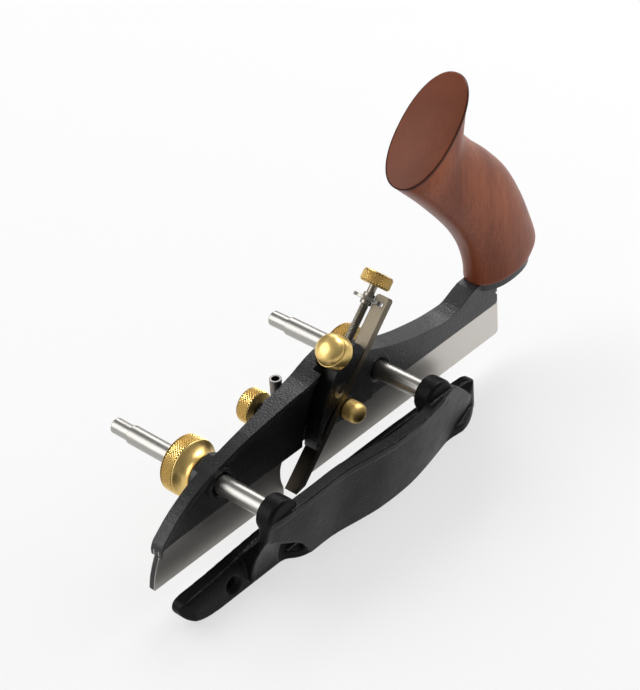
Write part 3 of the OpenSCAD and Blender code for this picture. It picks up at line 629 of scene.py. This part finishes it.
def oiled_wood():
    """Reddish wood whose grain leans with the handle, with open pores under a thin oil coat."""
    s = settings().handle
    work = Finish("Oiled wood")

    def grain(pattern, along):
        """A noise that is drawn out along the grain."""
        leaning = work.mapping((1.0, 1.0, along), (0, math.radians(WOOD_LEAN), 0))
        return work.noise(leaning, *pattern)

    bands = work.range(grain(WOOD_BANDS, ALONG_BANDS), 0.34, 0.66, 0, 1)
    lines = work.range(grain(WOOD_LINES, ALONG_LINES), 0.35, 0.7, 0, 1)
    dashes = work.range(grain(WOOD_PORES, ALONG_PORES), 0.60, 0.74, 0, 1)
    light, dark = tuple(s.wood), tuple(s.dark_wood)
    # Painted shade: the front of the handle is darker than its back
    behind = work.depth_below(HANDLE_CENTRE * MM, CUT_AWAY.cross(ALONG_RODS))
    light = work.blend(work.range(behind, -0.014, 0.006, 0.5, 0.0), light, dark)
    colour = work.blend(work.product(bands, 0.55), light, dark)
    colour = work.blend(work.product(lines, 0.34), colour, dark)
    colour = work.blend(work.product(dashes, 0.42), colour, tinted(dark, 0.5))
    # The sawn top is darker, and oil gathers along its edge
    depth = work.depth_below(CUT_PLACE * MM, CUT_AWAY)
    colour = work.blend(work.range(depth, 0.0, 0.00008, 0.7, 0.0), colour, SAWN_WOOD)
    rim = work.product(work.range(depth, 0.00004, 0.0002, 0, 1), work.range(depth, 0.0009, 0.0015, 1, 0))
    colour = work.blend(work.product(rim, 0.85), colour, tinted(dark, 0.35))
    normal = work.bump(work.sum("SUBTRACT", work.product(lines, 0.3), dashes), PORE_DEPTH, 0.35)
    return work.finish(work.surface(colour, work.range(lines, 0, 1, 0.32, 0.44), normal, coat=0.06,
                                    coat_roughness=0.28, specular=0.17))


# Knurls and threads


def new_tree(name, **inputs):
    """An empty geometry tree with these inputs, each given as its name and kind of socket."""
    tree = bpy.data.node_groups.new(name, "GeometryNodeTree")
    tree.interface.new_socket("Geometry", in_out="INPUT", socket_type="NodeSocketGeometry")
    for key, kind in inputs.items():
        tree.interface.new_socket(key, in_out="INPUT", socket_type=f"NodeSocket{kind}")
    tree.interface.new_socket("Geometry", in_out="OUTPUT", socket_type="NodeSocketGeometry")
    return tree


def close_tree(tree, shape, material):
    """Ends a tree: its instances become real faces, and they get their material."""
    add, join = tree.nodes.new, tree.links.new
    real, finish, result = (add(kind) for kind in ("GeometryNodeRealizeInstances", "GeometryNodeSetMaterial",
                                                   "NodeGroupOutput"))
    join(shape, real.inputs[0])
    join(real.outputs[0], finish.inputs["Geometry"])
    join(material, finish.inputs["Material"])
    join(finish.outputs[0], result.inputs[0])
    return tree


def knurl_tree():
    """Geometry nodes for a diamond knurl: rows of four-sided points round a band."""
    tree = new_tree("Diamond knurl", Radius="Float", Length="Float", Depth="Float", Round="Int", Rows="Int",
                    Brass="Material")
    add, join = tree.nodes.new, tree.links.new
    given = add("NodeGroupInput").outputs
    line = add("GeometryNodeMeshLine")
    join(sum_of(tree, "MULTIPLY", given["Round"], given["Rows"]), line.inputs["Count"])
    number = add("GeometryNodeInputIndex").outputs[0]
    row = sum_of(tree, "FLOOR", sum_of(tree, "DIVIDE", sum_of(tree, "ADD", number, 0.5), given["Round"]))
    column = sum_of(tree, "SUBTRACT", number, sum_of(tree, "MULTIPLY", row, given["Round"]))
    stagger = sum_of(tree, "MULTIPLY", sum_of(tree, "MODULO", row, 2.0), 0.5)
    turn = sum_of(tree, "DIVIDE", sum_of(tree, "ADD", column, stagger), given["Round"])
    angle = sum_of(tree, "MULTIPLY", turn, 2 * math.pi)
    outward = add("ShaderNodeCombineXYZ")
    join(sum_of(tree, "COSINE", angle), outward.inputs[0])
    join(sum_of(tree, "SINE", angle), outward.inputs[1])
    reach = add("ShaderNodeVectorMath")
    reach.operation = "SCALE"
    join(outward.outputs[0], reach.inputs[0])
    join(given["Radius"], reach.inputs["Scale"])
    pitch = sum_of(tree, "DIVIDE", given["Length"], sum_of(tree, "ADD", given["Rows"], 1.0))
    height = add("ShaderNodeCombineXYZ")
    join(sum_of(tree, "MULTIPLY", sum_of(tree, "ADD", row, 1.0), pitch), height.inputs[2])
    spot = add("ShaderNodeVectorMath")
    spot.operation = "ADD"
    join(reach.outputs[0], spot.inputs[0])
    join(height.outputs[0], spot.inputs[1])
    settle = add("GeometryNodeSetPosition")
    join(line.outputs[0], settle.inputs["Geometry"])
    join(spot.outputs[0], settle.inputs["Position"])
    facing = add("FunctionNodeAxesToRotation")
    facing.primary_axis, facing.secondary_axis = "Z", "X"
    join(outward.outputs[0], facing.inputs[0])
    facing.inputs[1].default_value = (0, 0, 1)
    point = add("GeometryNodeMeshCone")
    point.fill_type = "NONE"
    point.inputs["Vertices"].default_value = 4
    point.inputs["Radius Top"].default_value = KNURL_FLAT
    join(sum_of(tree, "MULTIPLY", pitch, KNURL_OVERLAP), point.inputs["Radius Bottom"])
    join(given["Depth"], point.inputs["Depth"])
    scatter = add("GeometryNodeInstanceOnPoints")
    join(settle.outputs[0], scatter.inputs["Points"])
    join(point.outputs["Mesh"], scatter.inputs["Instance"])
    join(facing.outputs[0], scatter.inputs["Rotation"])
    return close_tree(tree, scatter.outputs[0], given["Brass"])


def thread_tree():
    """Geometry nodes for a screw thread: a thin square bar, half sunk in a core, that winds round it."""
    tree = new_tree("Screw thread", Radius="Float", Length="Float", Turns="Float", Ridge="Float",
                    Steel="Material")
    add, join = tree.nodes.new, tree.links.new
    given = add("NodeGroupInput").outputs
    coil = add("GeometryNodeCurveSpiral")
    coil.inputs["Resolution"].default_value = THREAD_STEPS
    for source, target in (("Turns", "Rotations"), ("Radius", "Start Radius"), ("Radius", "End Radius"),
                           ("Length", "Height")):
        join(given[source], coil.inputs[target])
    upright = add("GeometryNodeSetCurveNormal")
    upright.mode = "Z_UP"
    join(coil.outputs[0], upright.inputs[0])
    ridge = add("GeometryNodeCurvePrimitiveCircle")
    ridge.inputs["Resolution"].default_value = 4
    join(given["Ridge"], ridge.inputs["Radius"])
    sweep = add("GeometryNodeCurveToMesh")
    join(upright.outputs[0], sweep.inputs["Curve"])
    join(ridge.outputs["Curve"], sweep.inputs["Profile Curve"])
    sweep.inputs["Fill Caps"].default_value = True
    return close_tree(tree, sweep.outputs[0], given["Steel"])


def grown_piece(name, tree, matrix, material, **values):
    """Runs a node tree on an empty mesh and keeps the result as a plain mesh."""
    seed = link_object(f"{name}_seed", bpy.data.meshes.new(f"{name}_seed"))
    modifier = seed.modifiers.new("Grow", "NODES")
    modifier.node_group = tree
    sockets = {item.name: item.identifier for item in tree.interface.items_tree
               if item.item_type == "SOCKET" and item.in_out == "INPUT"}
    for key, value in values.items():
        modifier[sockets[key]] = value
    mesh = plain_mesh(seed, name, False)
    mesh.transform(matrix)
    if not mesh.materials:
        mesh.materials.append(material)
    return link_object(name, mesh)


def knurled_band(name, knurl, origin, axis, material, body):
    """A knurl between two heights of a turned rim."""
    s = settings().brass
    root, _, low, high = knurl
    tree = bpy.data.node_groups.get("Diamond knurl") or knurl_tree()
    radius = root + s.knurl_depth / MM / 2
    around = round(2 * math.pi * radius * MM / s.knurl_pitch)
    rows = max(3, round((high - low) * MM / (s.knurl_pitch / 2)) - 1)
    matrix = axis_matrix(origin, axis) @ Matrix.Translation((0, 0, low * MM))
    band = grown_piece(name, tree, matrix, material, Radius=radius * MM, Length=(high - low) * MM,
                       Depth=s.knurl_depth, Round=around, Rows=rows, Brass=material)
    hand_over(band, body, "brass")


# Castings


def rounded_casting(name, node, material, voxel):
    """A copy of a CAD casting whose corners are rounded as sand moulding leaves them."""
    bm = bmesh.new()
    bm.from_mesh(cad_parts[node].data)
    bmesh.ops.remove_doubles(bm, verts=bm.verts, dist=WELD)
    mesh = bpy.data.meshes.new(name)
    bm.to_mesh(mesh)
    bm.free()
    rough = link_object(f"{name}_rough", mesh)
    remesh = rough.modifiers.new("Remesh", "REMESH")
    remesh.mode = "VOXEL"
    remesh.voxel_size = voxel
    ease = rough.modifiers.new("Ease", "SMOOTH")
    ease.factor = EASE_SHARE
    ease.iterations = EASE_PASSES
    made = plain_mesh(rough, name, True)
    made.materials.clear()
    made.materials.append(material)
    return link_object(name, made)


def coat(node, material):
    """Puts a finish on a CAD piece whose shape stays."""
    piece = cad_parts[node]
    if not piece.material_slots:
        raise RuntimeError(f"{node} has no material slot")
    for slot in piece.material_slots:
        slot.material = material


class PLOUGH_OT_body(bpy.types.Operator):
    """Body casting: black paint with eased edges, and the bare ground skate"""
    bl_idname = "plough.body"
    bl_label = "Body casting"

    def execute(self, context):
        coat("body", body_finish())
        return {"FINISHED"}


class PLOUGH_OT_fence(bpy.types.Operator):
    """Fence casting with its hand grip, its corners filleted"""
    bl_idname = "plough.fence"
    bl_label = "Fence casting"

    def execute(self, context):
        paint = black_casting("Fence casting", 0.08)
        piece = rounded_casting("fence_casting", "fence", paint, settings().casting.voxel)
        hand_over(piece, "fence_unit", "black_iron", "fence")
        return {"FINISHED"}


class PLOUGH_OT_lever_cap(bpy.types.Operator):
    """Black paint of the lever cap and of the depth stop's shoe"""
    bl_idname = "plough.lever_cap"
    bl_label = "Small castings"

    def execute(self, context):
        paint = black_casting("Lever cap paint", 0.3, settings().casting.edge)
        for node in ("lever_cap", "depth_stop_shoe"):
            coat(node, paint)
        return {"FINISHED"}


# Handle


# Sections of the handle from the base up: front x and z, rear x and z, share of the width, as in the CAD
HANDLE_SECTIONS = [
    (117.2, 32.2, 152.0, 34.69, 0.0), (116.5, 41.0, 156.0, 40.0, 0.15), (113.8, 50.8, 151.0, 54.3, 0.42),
    (108.8, 60.4, 144.6, 68.6, 0.64), (102.2, 69.6, 136.3, 83.0, 0.74), (95.0, 78.3, 125.6, 95.4, 0.72),
    (88.0, 86.4, 115.0, 105.6, 0.66), (81.8, 93.0, 108.6, 113.9, 0.68), (77.2, 97.8, 108.4, 120.2, 0.82),
    (73.3, 101.8, 112.0, 136.0, 1.0)]
# A point of the cut top, and the direction in which it faces
CUT_PLACE = Vector((HANDLE_SECTIONS[-1][0], 0, HANDLE_SECTIONS[-1][1]))
CUT_AWAY = Vector((HANDLE_SECTIONS[-1][1] - HANDLE_SECTIONS[-1][3], 0,
                   HANDLE_SECTIONS[-1][2] - HANDLE_SECTIONS[-1][0])).normalized()
# A point inside the handle at half its height, past which the painted shade on the wood fades
HANDLE_CENTRE = Vector((112, 0, 80))
# How far across the handle's middle lies, and half its width where the share of the width is 0 and 1
HANDLE_MIDDLE = 1.0
HANDLE_BASE = 10.9
HANDLE_TOP = 13.4
# A section is a little fuller than a true oval, which is 1
OVAL = 0.92
# The foot is this much narrower on all sides, in millimetres
FOOT_INSET = 0.5
# Finer steps, of which one close under the cut top is used, and rings that round the edge of the cut top
NEAR_TOP_STEPS = 40
EDGE_RINGS = 4


def handle_ring(bm, section, inset=0, sink=0):
    """Points round one section, this far inside it and this far below it, in millimetres."""
    front, back = Vector((section[0], 0, section[1])), Vector((section[2], 0, section[3]))
    middle, half = (front + back) / 2, (back - front) / 2
    wide = HANDLE_BASE + (HANDLE_TOP - HANDLE_BASE) * section[4] - inset
    reach = half.normalized() * (half.length - inset)
    lower = Vector((half.z, 0, -half.x)).normalized() * sink
    sides = settings().handle.sides
    points = []
    for k in range(sides):
        a = 2 * math.pi * k / sides
        c, d = (math.copysign(abs(part) ** OVAL, part) for part in (math.cos(a), math.sin(a)))
        p = middle + reach * c + Vector((0, HANDLE_MIDDLE + wide * d, 0)) + lower
        points.append(bm.verts.new(p * MM))
    return points


class PLOUGH_OT_handle(bpy.types.Operator):
    """Wooden handle, smooth along its length, with a crisp cut top"""
    bl_idname = "plough.handle"
    bl_label = "Wooden handle"

    def execute(self, context):
        s = settings().handle
        edge = s.edge / MM
        sections = flow(HANDLE_SECTIONS, s.steps)
        bm = bmesh.new()
        rings = [handle_ring(bm, sections[0], FOOT_INSET)]
        rings += [handle_ring(bm, section) for section in sections[1:-1]]
        # A last section close under the cut top, and the rings that round its edge
        rings.append(handle_ring(bm, flow(HANDLE_SECTIONS, NEAR_TOP_STEPS)[-3]))
        for step in range(EDGE_RINGS):
            a = math.radians(90 / (EDGE_RINGS - 1) * step)
            rings.append(handle_ring(bm, sections[-1], edge * (1 - math.cos(a)), edge * (1 - math.sin(a))))
        for low, high in zip(rings, rings[1:]):
            for k in range(s.sides):
                m = (k + 1) % s.sides
                bm.faces.new((low[k], low[m], high[m], high[k]))
        bm.faces.new(rings[0])
        bm.faces.new(rings[-1])
        piece = make_object("wooden_handle", bm, oiled_wood(), HANDLE_CREASE)
        hand_over(piece, "plane_body", "wood", "handle")
        return {"FINISHED"}


# Brass


def knurl_seat(knurl):
    """The part of a turned profile that a knurl stands on."""
    root, _, low, high = knurl
    return [(root, low), (root, high)]


# Knurls are root, tip, low and high, and profiles are radius and height, all in millimetres
ROD_KNURL = (11.5, 11.95, 12.95, 18.6)
ADJUSTER_KNURL = (5.88, 6.3, 0.45, 4.9)
DEPTH_STOP_KNURL = (6.93, 7.36, 20.95, 26.75)
ROD_KNOB_PROFILE = [
    (7.5, 6.45), (8.75, 6.45), (9.0, 6.7), (8.75, 7.0),
    *flow([(8.5, 7.6), (8.55, 8.6), (9.1, 9.9), (10.1, 11.1), (11.2, 12.0)], 6),
    (11.7, 12.3), (11.9, 12.6), (11.9, 12.8), *knurl_seat(ROD_KNURL), (11.9, 18.75), (11.7, 19.0),
    (11.4, 19.05), (5.4, 19.05), (5.1, 18.9), (4.5, 18.9), (4.5, 17.85), (4.9, 17.85), (4.9, 17.6),
    (5.8, 13.0), (7.5, 13.0)]
# A straight side, a groove and a high dome
LEVER_CAP_KNOB_PROFILE = [
    (0, 4.8), (2.45, 4.8), (2.45, 0), (6.5, 0), (6.8, 0.12), (7.0, 0.4), (7.0, 5.3), (6.85, 5.6),
    (6.5, 5.75), (6.42, 5.95), (6.45, 6.2),
    *flow([(6.45, 6.45), (6.3, 6.95), (5.6, 7.9), (4.3, 8.8), (2.3, 9.55), (0.8, 9.78)], 5), (0, 9.8)]
# A plain barrel with a shallow domed end
SIDE_CLAMP_PROFILE = [
    (0, -8), (2.35, -8), (2.35, 0), (3.9, 0), (4.2, 0.2), (4.4, 0.5), (4.4, 4.2),
    *flow([(4.36, 4.7), (4.0, 5.95), (3.3, 6.85), (2.2, 7.55), (1.0, 7.9)], 4), (0, 7.98)]
ADJUSTER_KNOB_PROFILE = [
    (0, 0.02), (2.6, 0.02), (5.8, 0.02), (6.1, 0.3), *knurl_seat(ADJUSTER_KNURL), (6.2, 5.0), (5.9, 5.35),
    (5.7, 5.46), (3.5, 5.46), (3.1, 5.25), (0, 5.2)]
# The knob's screw, then the knob itself
DEPTH_STOP_KNOB_PROFILE = [
    (0, 13.7), (1.95, 13.7), (1.95, 20.62), (6.7, 20.62), (7.1, 20.8), *knurl_seat(DEPTH_STOP_KNURL),
    (7.1, 26.9), (6.7, 27.15), (3.5, 27.15), (3.1, 26.85), (0, 26.82)]


def turned_knob(name, finish, node, body, origin, axis, profile, knurl=None, band=None, duller=0.0):
    """A turned brass piece in the place of a CAD node, with its knurled band where it has one."""
    material = turned_brass(finish, origin, axis, knurl, duller)
    knob = turned_piece(name, profile, origin, axis, material, settings().brass.segments)
    hand_over(knob, body, "brass", node)
    if knurl:
        knurled_band(band, knurl, origin, axis, material, body)


class PLOUGH_OT_collet_knobs(bpy.types.Operator):
    """The two knurled knobs that lock the rods"""
    bl_idname = "plough.collet_knobs"
    bl_label = "Rod knobs"

    def execute(self, context):
        for end, place in (("front", FRONT_ROD), ("rear", REAR_ROD)):
            turned_knob(f"{end}_rod_knob", f"Brass of the {end} rod knob", f"{end}_collet_knob",
                        f"{end}_clamp", place, ALONG_RODS, ROD_KNOB_PROFILE, ROD_KNURL,
                        f"{end}_rod_knob_knurl")
        return {"FINISHED"}


class PLOUGH_OT_small_knobs(bpy.types.Operator):
    """Lever cap knob, side clamp, adjuster knob and depth stop knob"""
    bl_idname = "plough.small_knobs"
    bl_label = "Small brass knobs"

    def execute(self, context):
        turned_knob("cap_clamp_knob", "Brass of the lever cap knob", "lever_cap_knob", "cap_knob",
                    LEVER_CAP_KNOB, OFF_BED, LEVER_CAP_KNOB_PROFILE)
        turned_knob("side_clamp_knob", "Brass of the side clamp", "side_clamp_screw", "side_clamp",
                    SIDE_CLAMP, -ALONG_RODS, SIDE_CLAMP_PROFILE, duller=0.14)
        turned_knob("adjuster_thumb_knob", "Brass of the adjuster", "adjuster_knob", "adjuster",
                    FEED_KNOB, UP_BED, ADJUSTER_KNOB_PROFILE, ADJUSTER_KNURL, "adjuster_thumb_knurl")
        turned_knob("depth_thumb_knob", "Brass of the depth stop knob", "depth_stop_knob",
                    "depth_stop_clamp", DEPTH_STOP_KNOB, ALONG_RODS, DEPTH_STOP_KNOB_PROFILE,
                    DEPTH_STOP_KNURL, "depth_thumb_knurl")
        return {"FINISHED"}


# Steel


# Radius and height up the bed, in millimetres: core of the thread, two shoulders, and the neck in the knob
FEED_SCREW_PROFILE = [
    (0, 50.0), (1.3, 50.0), (1.5, 50.3), (1.5, 78.1), (1.75, 78.25), (1.75, 78.35), (2.3, 78.35),
    (2.48, 78.5), (2.48, 79.95), (1.75, 80.04), (1.75, 81.56), (2.48, 81.64), (2.48, 83.0), (2.3, 83.15),
    (1.75, 83.15), (1.7, 83.6), (1.7, 86.5), (1.7, 89.9), (0, 89.95)]
FEED_SCREW_SIDES = 64


class PLOUGH_OT_feed_screw(bpy.types.Operator):
    """Feed screw of the adjuster with its cut thread and shoulders"""
    bl_idname = "plough.feed_screw"
    bl_label = "Feed screw"

    def execute(self, context):
        steel = rod_steel("Feed screw steel", FEED_STEEL, 0.27)
        core = turned_piece("feed_screw_core", FEED_SCREW_PROFILE, FEED_SCREW, UP_BED, steel,
                            FEED_SCREW_SIDES)
        hand_over(core, "adjuster", "dark_steel", "adjuster_screw")
        matrix = axis_matrix(FEED_THREAD, UP_BED)
        turns = THREAD_LENGTH / (settings().steel.thread_pitch / MM)
        ridge = grown_piece("feed_screw_thread", thread_tree(), matrix, steel, Radius=THREAD_ROOT * MM,
                            Length=THREAD_LENGTH * MM, Turns=turns, Ridge=THREAD_RIDGE * MM, Steel=steel)
        hand_over(ridge, "adjuster", "dark_steel")
        return {"FINISHED"}


class PLOUGH_OT_plain_steel(bpy.types.Operator):
    """Finishes of the rods, iron, collar, screws and other pieces whose CAD shape stays"""
    bl_idname = "plough.plain_steel"
    bl_label = "Steel finishes"

    def execute(self, context):
        bright = rod_steel("Bright rod", tuple(settings().steel.bright), 0.33)
        collar = rod_steel("Bright collar", COLLAR_STEEL, 0.32)
        dull = rod_steel("Ground collet", COLLET_STEEL, 0.3)
        screws = dark_steel("Blackened screws")
        pivot = rod_steel("Pivot screw steel", PIVOT_STEEL, 0.3)
        post = dark_steel("Depth post steel")
        insert = turned_brass("Brass insert", HANDLE_INSERT, Vector((0, 0, 1)))
        choice = {
            "front_rod": bright, "rear_rod": bright, "iron": iron_finish(), "adjuster_collar": collar,
            "lever_cap_screw": pivot, "lever_cap_stud": dull, "front_collet": dull, "rear_collet": dull,
            "handle_pin": dull, "handle_screw": screws, "handle_insert": insert, "depth_stop_pad": insert,
            "depth_stop_post": post, "depth_stop_shoe_screw": screws}
        for node, material in choice.items():
            coat(node, material)
        return {"FINISHED"}


# Studio


# Width of the camera's sensor in millimetres, and its nearest and furthest sight in metres
SENSOR = 36
NEAREST = 0.01
FURTHEST = 20
# Half the width of the paper floor in metres, its squares each way, and how far it lies below the plane
PAPER_REACH = 3
PAPER_SQUARES = 8
PAPER_DROP = 0.0001
# The point at which the lights are aimed
LIT_POINT = (0.03, 0.0, 0.03)
# Name, place, width and height in metres, setting of the power, and the rays that a light is hidden from:
# the two cards only shine in smooth surfaces, and the fill gives light and shadow but no highlight
LIGHTS = (
    ("Heel softbox", (1.87, 1.63, 1.76), 1.3, 1.3, "key_power", None),
    ("Toe card", (-1.80, 1.52, 1.28), 2.4, 2.2, "toe_power", "visible_diffuse"),
    ("Edge card", (0.95, -0.05, 1.35), 0.35, 0.9, "glint_power", "visible_diffuse"),
    ("Fill softbox", (-0.7, 2.9, 3.1), 4.4, 3.2, "fill_power", "visible_glossy"),
    ("Heel strip", (1.0, -0.2, 0.5), 0.3, 0.8, "side_power", None))
# Light of the room, and what shiny surfaces see of it: dark walls up to one height, grey from the other up
ROOM_LIGHT = (0.62, 0.62, 0.63)
ROOM_STRENGTH = 0.6
DARK_WALL = (0.06, 0.06, 0.065, 1)
WALL_HEIGHT = 0.02
GREY_CEILING = (0.26, 0.26, 0.26, 1)
CEILING_HEIGHT = 0.6


def paper_finish():
    """White paper that keeps the plane's soft shadow."""
    s = settings().studio
    work = Finish("White paper")
    tone = work.spread(work.noise(work.place, *PAPER_GRAIN), 0.985, 1.0)
    paper = work.add("ShaderNodeBsdfDiffuse")
    work.join(work.blend(tone, (0, 0, 0), tinted(s.paper, s.paper_share)), paper.inputs["Color"])
    glow = work.add("ShaderNodeEmission")
    glow.inputs["Color"].default_value = (*s.paper, 1)
    glow.inputs["Strength"].default_value = s.paper_glow
    both = work.add("ShaderNodeAddShader")
    work.join(paper.outputs[0], both.inputs[0])
    work.join(glow.outputs[0], both.inputs[1])
    return work.finish(both.outputs[0])


def softbox(name, place, width, height, power, hidden_from):
    lamp = bpy.data.lights.new(name, "AREA")
    lamp.shape, lamp.size, lamp.size_y = "RECTANGLE", width, height
    lamp.energy = power
    body = link_object(name, lamp)
    body.location = place
    body.rotation_euler = (Vector(LIT_POINT) - Vector(place)).to_track_quat("-Z", "Y").to_euler()
    if hidden_from:
        setattr(body, hidden_from, False)


def photograph_camera():
    """Camera that stands and turns as the one that took the photograph."""
    s = settings().studio
    a, e, r = s.heading, s.height_angle, s.roll
    back = Vector((math.sin(a) * math.cos(e), -math.cos(a) * math.cos(e), math.sin(e)))
    right = Vector((math.cos(a), math.sin(a), 0))
    up = back.cross(right)
    across = right * math.cos(r) + up * math.sin(r)
    upward = -right * math.sin(r) + up * math.cos(r)
    camera = bpy.data.cameras.new("Photograph camera")
    camera.sensor_width = SENSOR
    camera.lens = s.lens_pixels / PHOTO_HEIGHT * SENSOR
    camera.clip_start, camera.clip_end = NEAREST, FURTHEST
    stand = link_object("Photograph camera", camera)
    turn = Matrix((across, upward, back)).transposed()
    stand.matrix_world = Matrix.Translation(s.place) @ turn.to_4x4()
    return stand


def studio_world():
    """White to the camera, the walls and ceiling in shiny surfaces, and the room's light for the rest."""
    world = bpy.data.worlds.new("Studio")
    world.use_nodes = True
    tree = world.node_tree
    tree.nodes.clear()
    add, join = tree.nodes.new, tree.links.new
    room, shiny, plain = (add("ShaderNodeBackground") for _ in range(3))
    room.inputs["Color"].default_value = (*ROOM_LIGHT, 1)
    room.inputs["Strength"].default_value = ROOM_STRENGTH
    plain.inputs["Color"].default_value = (*settings().studio.paper, 1)
    parts = add("ShaderNodeSeparateXYZ")
    join(add("ShaderNodeTexCoord").outputs["Generated"], parts.inputs[0])
    ramp = add("ShaderNodeValToRGB")
    low, high = ramp.color_ramp.elements
    low.position, low.color = WALL_HEIGHT, DARK_WALL
    high.position, high.color = CEILING_HEIGHT, GREY_CEILING
    join(parts.outputs["Z"], ramp.inputs[0])
    join(ramp.outputs[0], shiny.inputs["Color"])
    ray = add("ShaderNodeLightPath").outputs
    seen = mixed(tree, ray["Is Glossy Ray"], room.outputs[0], shiny.outputs[0])
    clear = sum_of(tree, "MAXIMUM", ray["Is Camera Ray"], ray["Is Transmission Ray"])
    join(mixed(tree, clear, seen, plain.outputs[0]), add("ShaderNodeOutputWorld").inputs[0])
    return world


class PLOUGH_OT_studio(bpy.types.Operator):
    """Camera of the photograph, white paper, soft light"""
    bl_idname = "plough.studio"
    bl_label = "Studio and camera"

    def execute(self, context):
        scene = context.scene
        scene.camera = photograph_camera()
        bm = bmesh.new()
        bmesh.ops.create_grid(bm, x_segments=PAPER_SQUARES, y_segments=PAPER_SQUARES, size=PAPER_REACH)
        bm.transform(Matrix.Translation((0, 0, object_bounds()[0][2] - PAPER_DROP)))
        paper = make_object("paper_floor", bm, paper_finish(), PAPER_CREASE)
        paper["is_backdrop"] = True
        for name, place, width, height, power, hidden_from in LIGHTS:
            softbox(name, place, width, height, getattr(settings().studio, power), hidden_from)
        scene.world = studio_world()
        scene.view_settings.view_transform = "Standard"
        return {"FINISHED"}


# Panel


class PloughPlaneSettings(bpy.types.PropertyGroup):
    casting: PointerProperty(type=CastingSettings, name="Castings", description="Castings and skate")
    brass: PointerProperty(type=BrassSettings, name="Brass", description="Turned and knurled brass")
    steel: PointerProperty(type=SteelSettings, name="Steel", description="Rods, collar and screws")
    handle: PointerProperty(type=HandleSettings, name="Handle", description="Wooden handle")
    studio: PointerProperty(type=StudioSettings, name="Studio", description="Camera, paper and lights")


OPERATORS = (PLOUGH_OT_body, PLOUGH_OT_fence, PLOUGH_OT_lever_cap, PLOUGH_OT_handle, PLOUGH_OT_collet_knobs,
             PLOUGH_OT_small_knobs, PLOUGH_OT_feed_screw, PLOUGH_OT_plain_steel, PLOUGH_OT_studio)


class PLOUGH_PT_sidebar(bpy.types.Panel):
    bl_label = "Plough plane"
    bl_idname = "PLOUGH_PT_sidebar"
    bl_space_type = "VIEW_3D"
    bl_region_type = "UI"
    bl_category = "Plough plane"

    def draw(self, context):
        layout = self.layout
        for operator in OPERATORS:
            layout.operator(operator.bl_idname)
        for group in ("casting", "brass", "steel", "handle", "studio"):
            box = layout.box()
            box.label(text=group.capitalize())
            values = getattr(context.scene.plough_plane, group)
            for key in values.bl_rna.properties.keys():
                if key not in ("rna_type", "name"):
                    box.prop(values, key)


CLASSES = (CastingSettings, BrassSettings, SteelSettings, HandleSettings, StudioSettings, PloughPlaneSettings,
           *OPERATORS, PLOUGH_PT_sidebar)


def register():
    for item in CLASSES:
        bpy.utils.register_class(item)
    bpy.types.Scene.plough_plane = PointerProperty(type=PloughPlaneSettings)


def unregister():
    del bpy.types.Scene.plough_plane
    for item in reversed(CLASSES):
        bpy.utils.unregister_class(item)


def main():
    register()
    for operator in OPERATORS:
        group, action = operator.bl_idname.split(".")
        getattr(getattr(bpy.ops, group), action)()


if __name__ == "__main__":
    main()
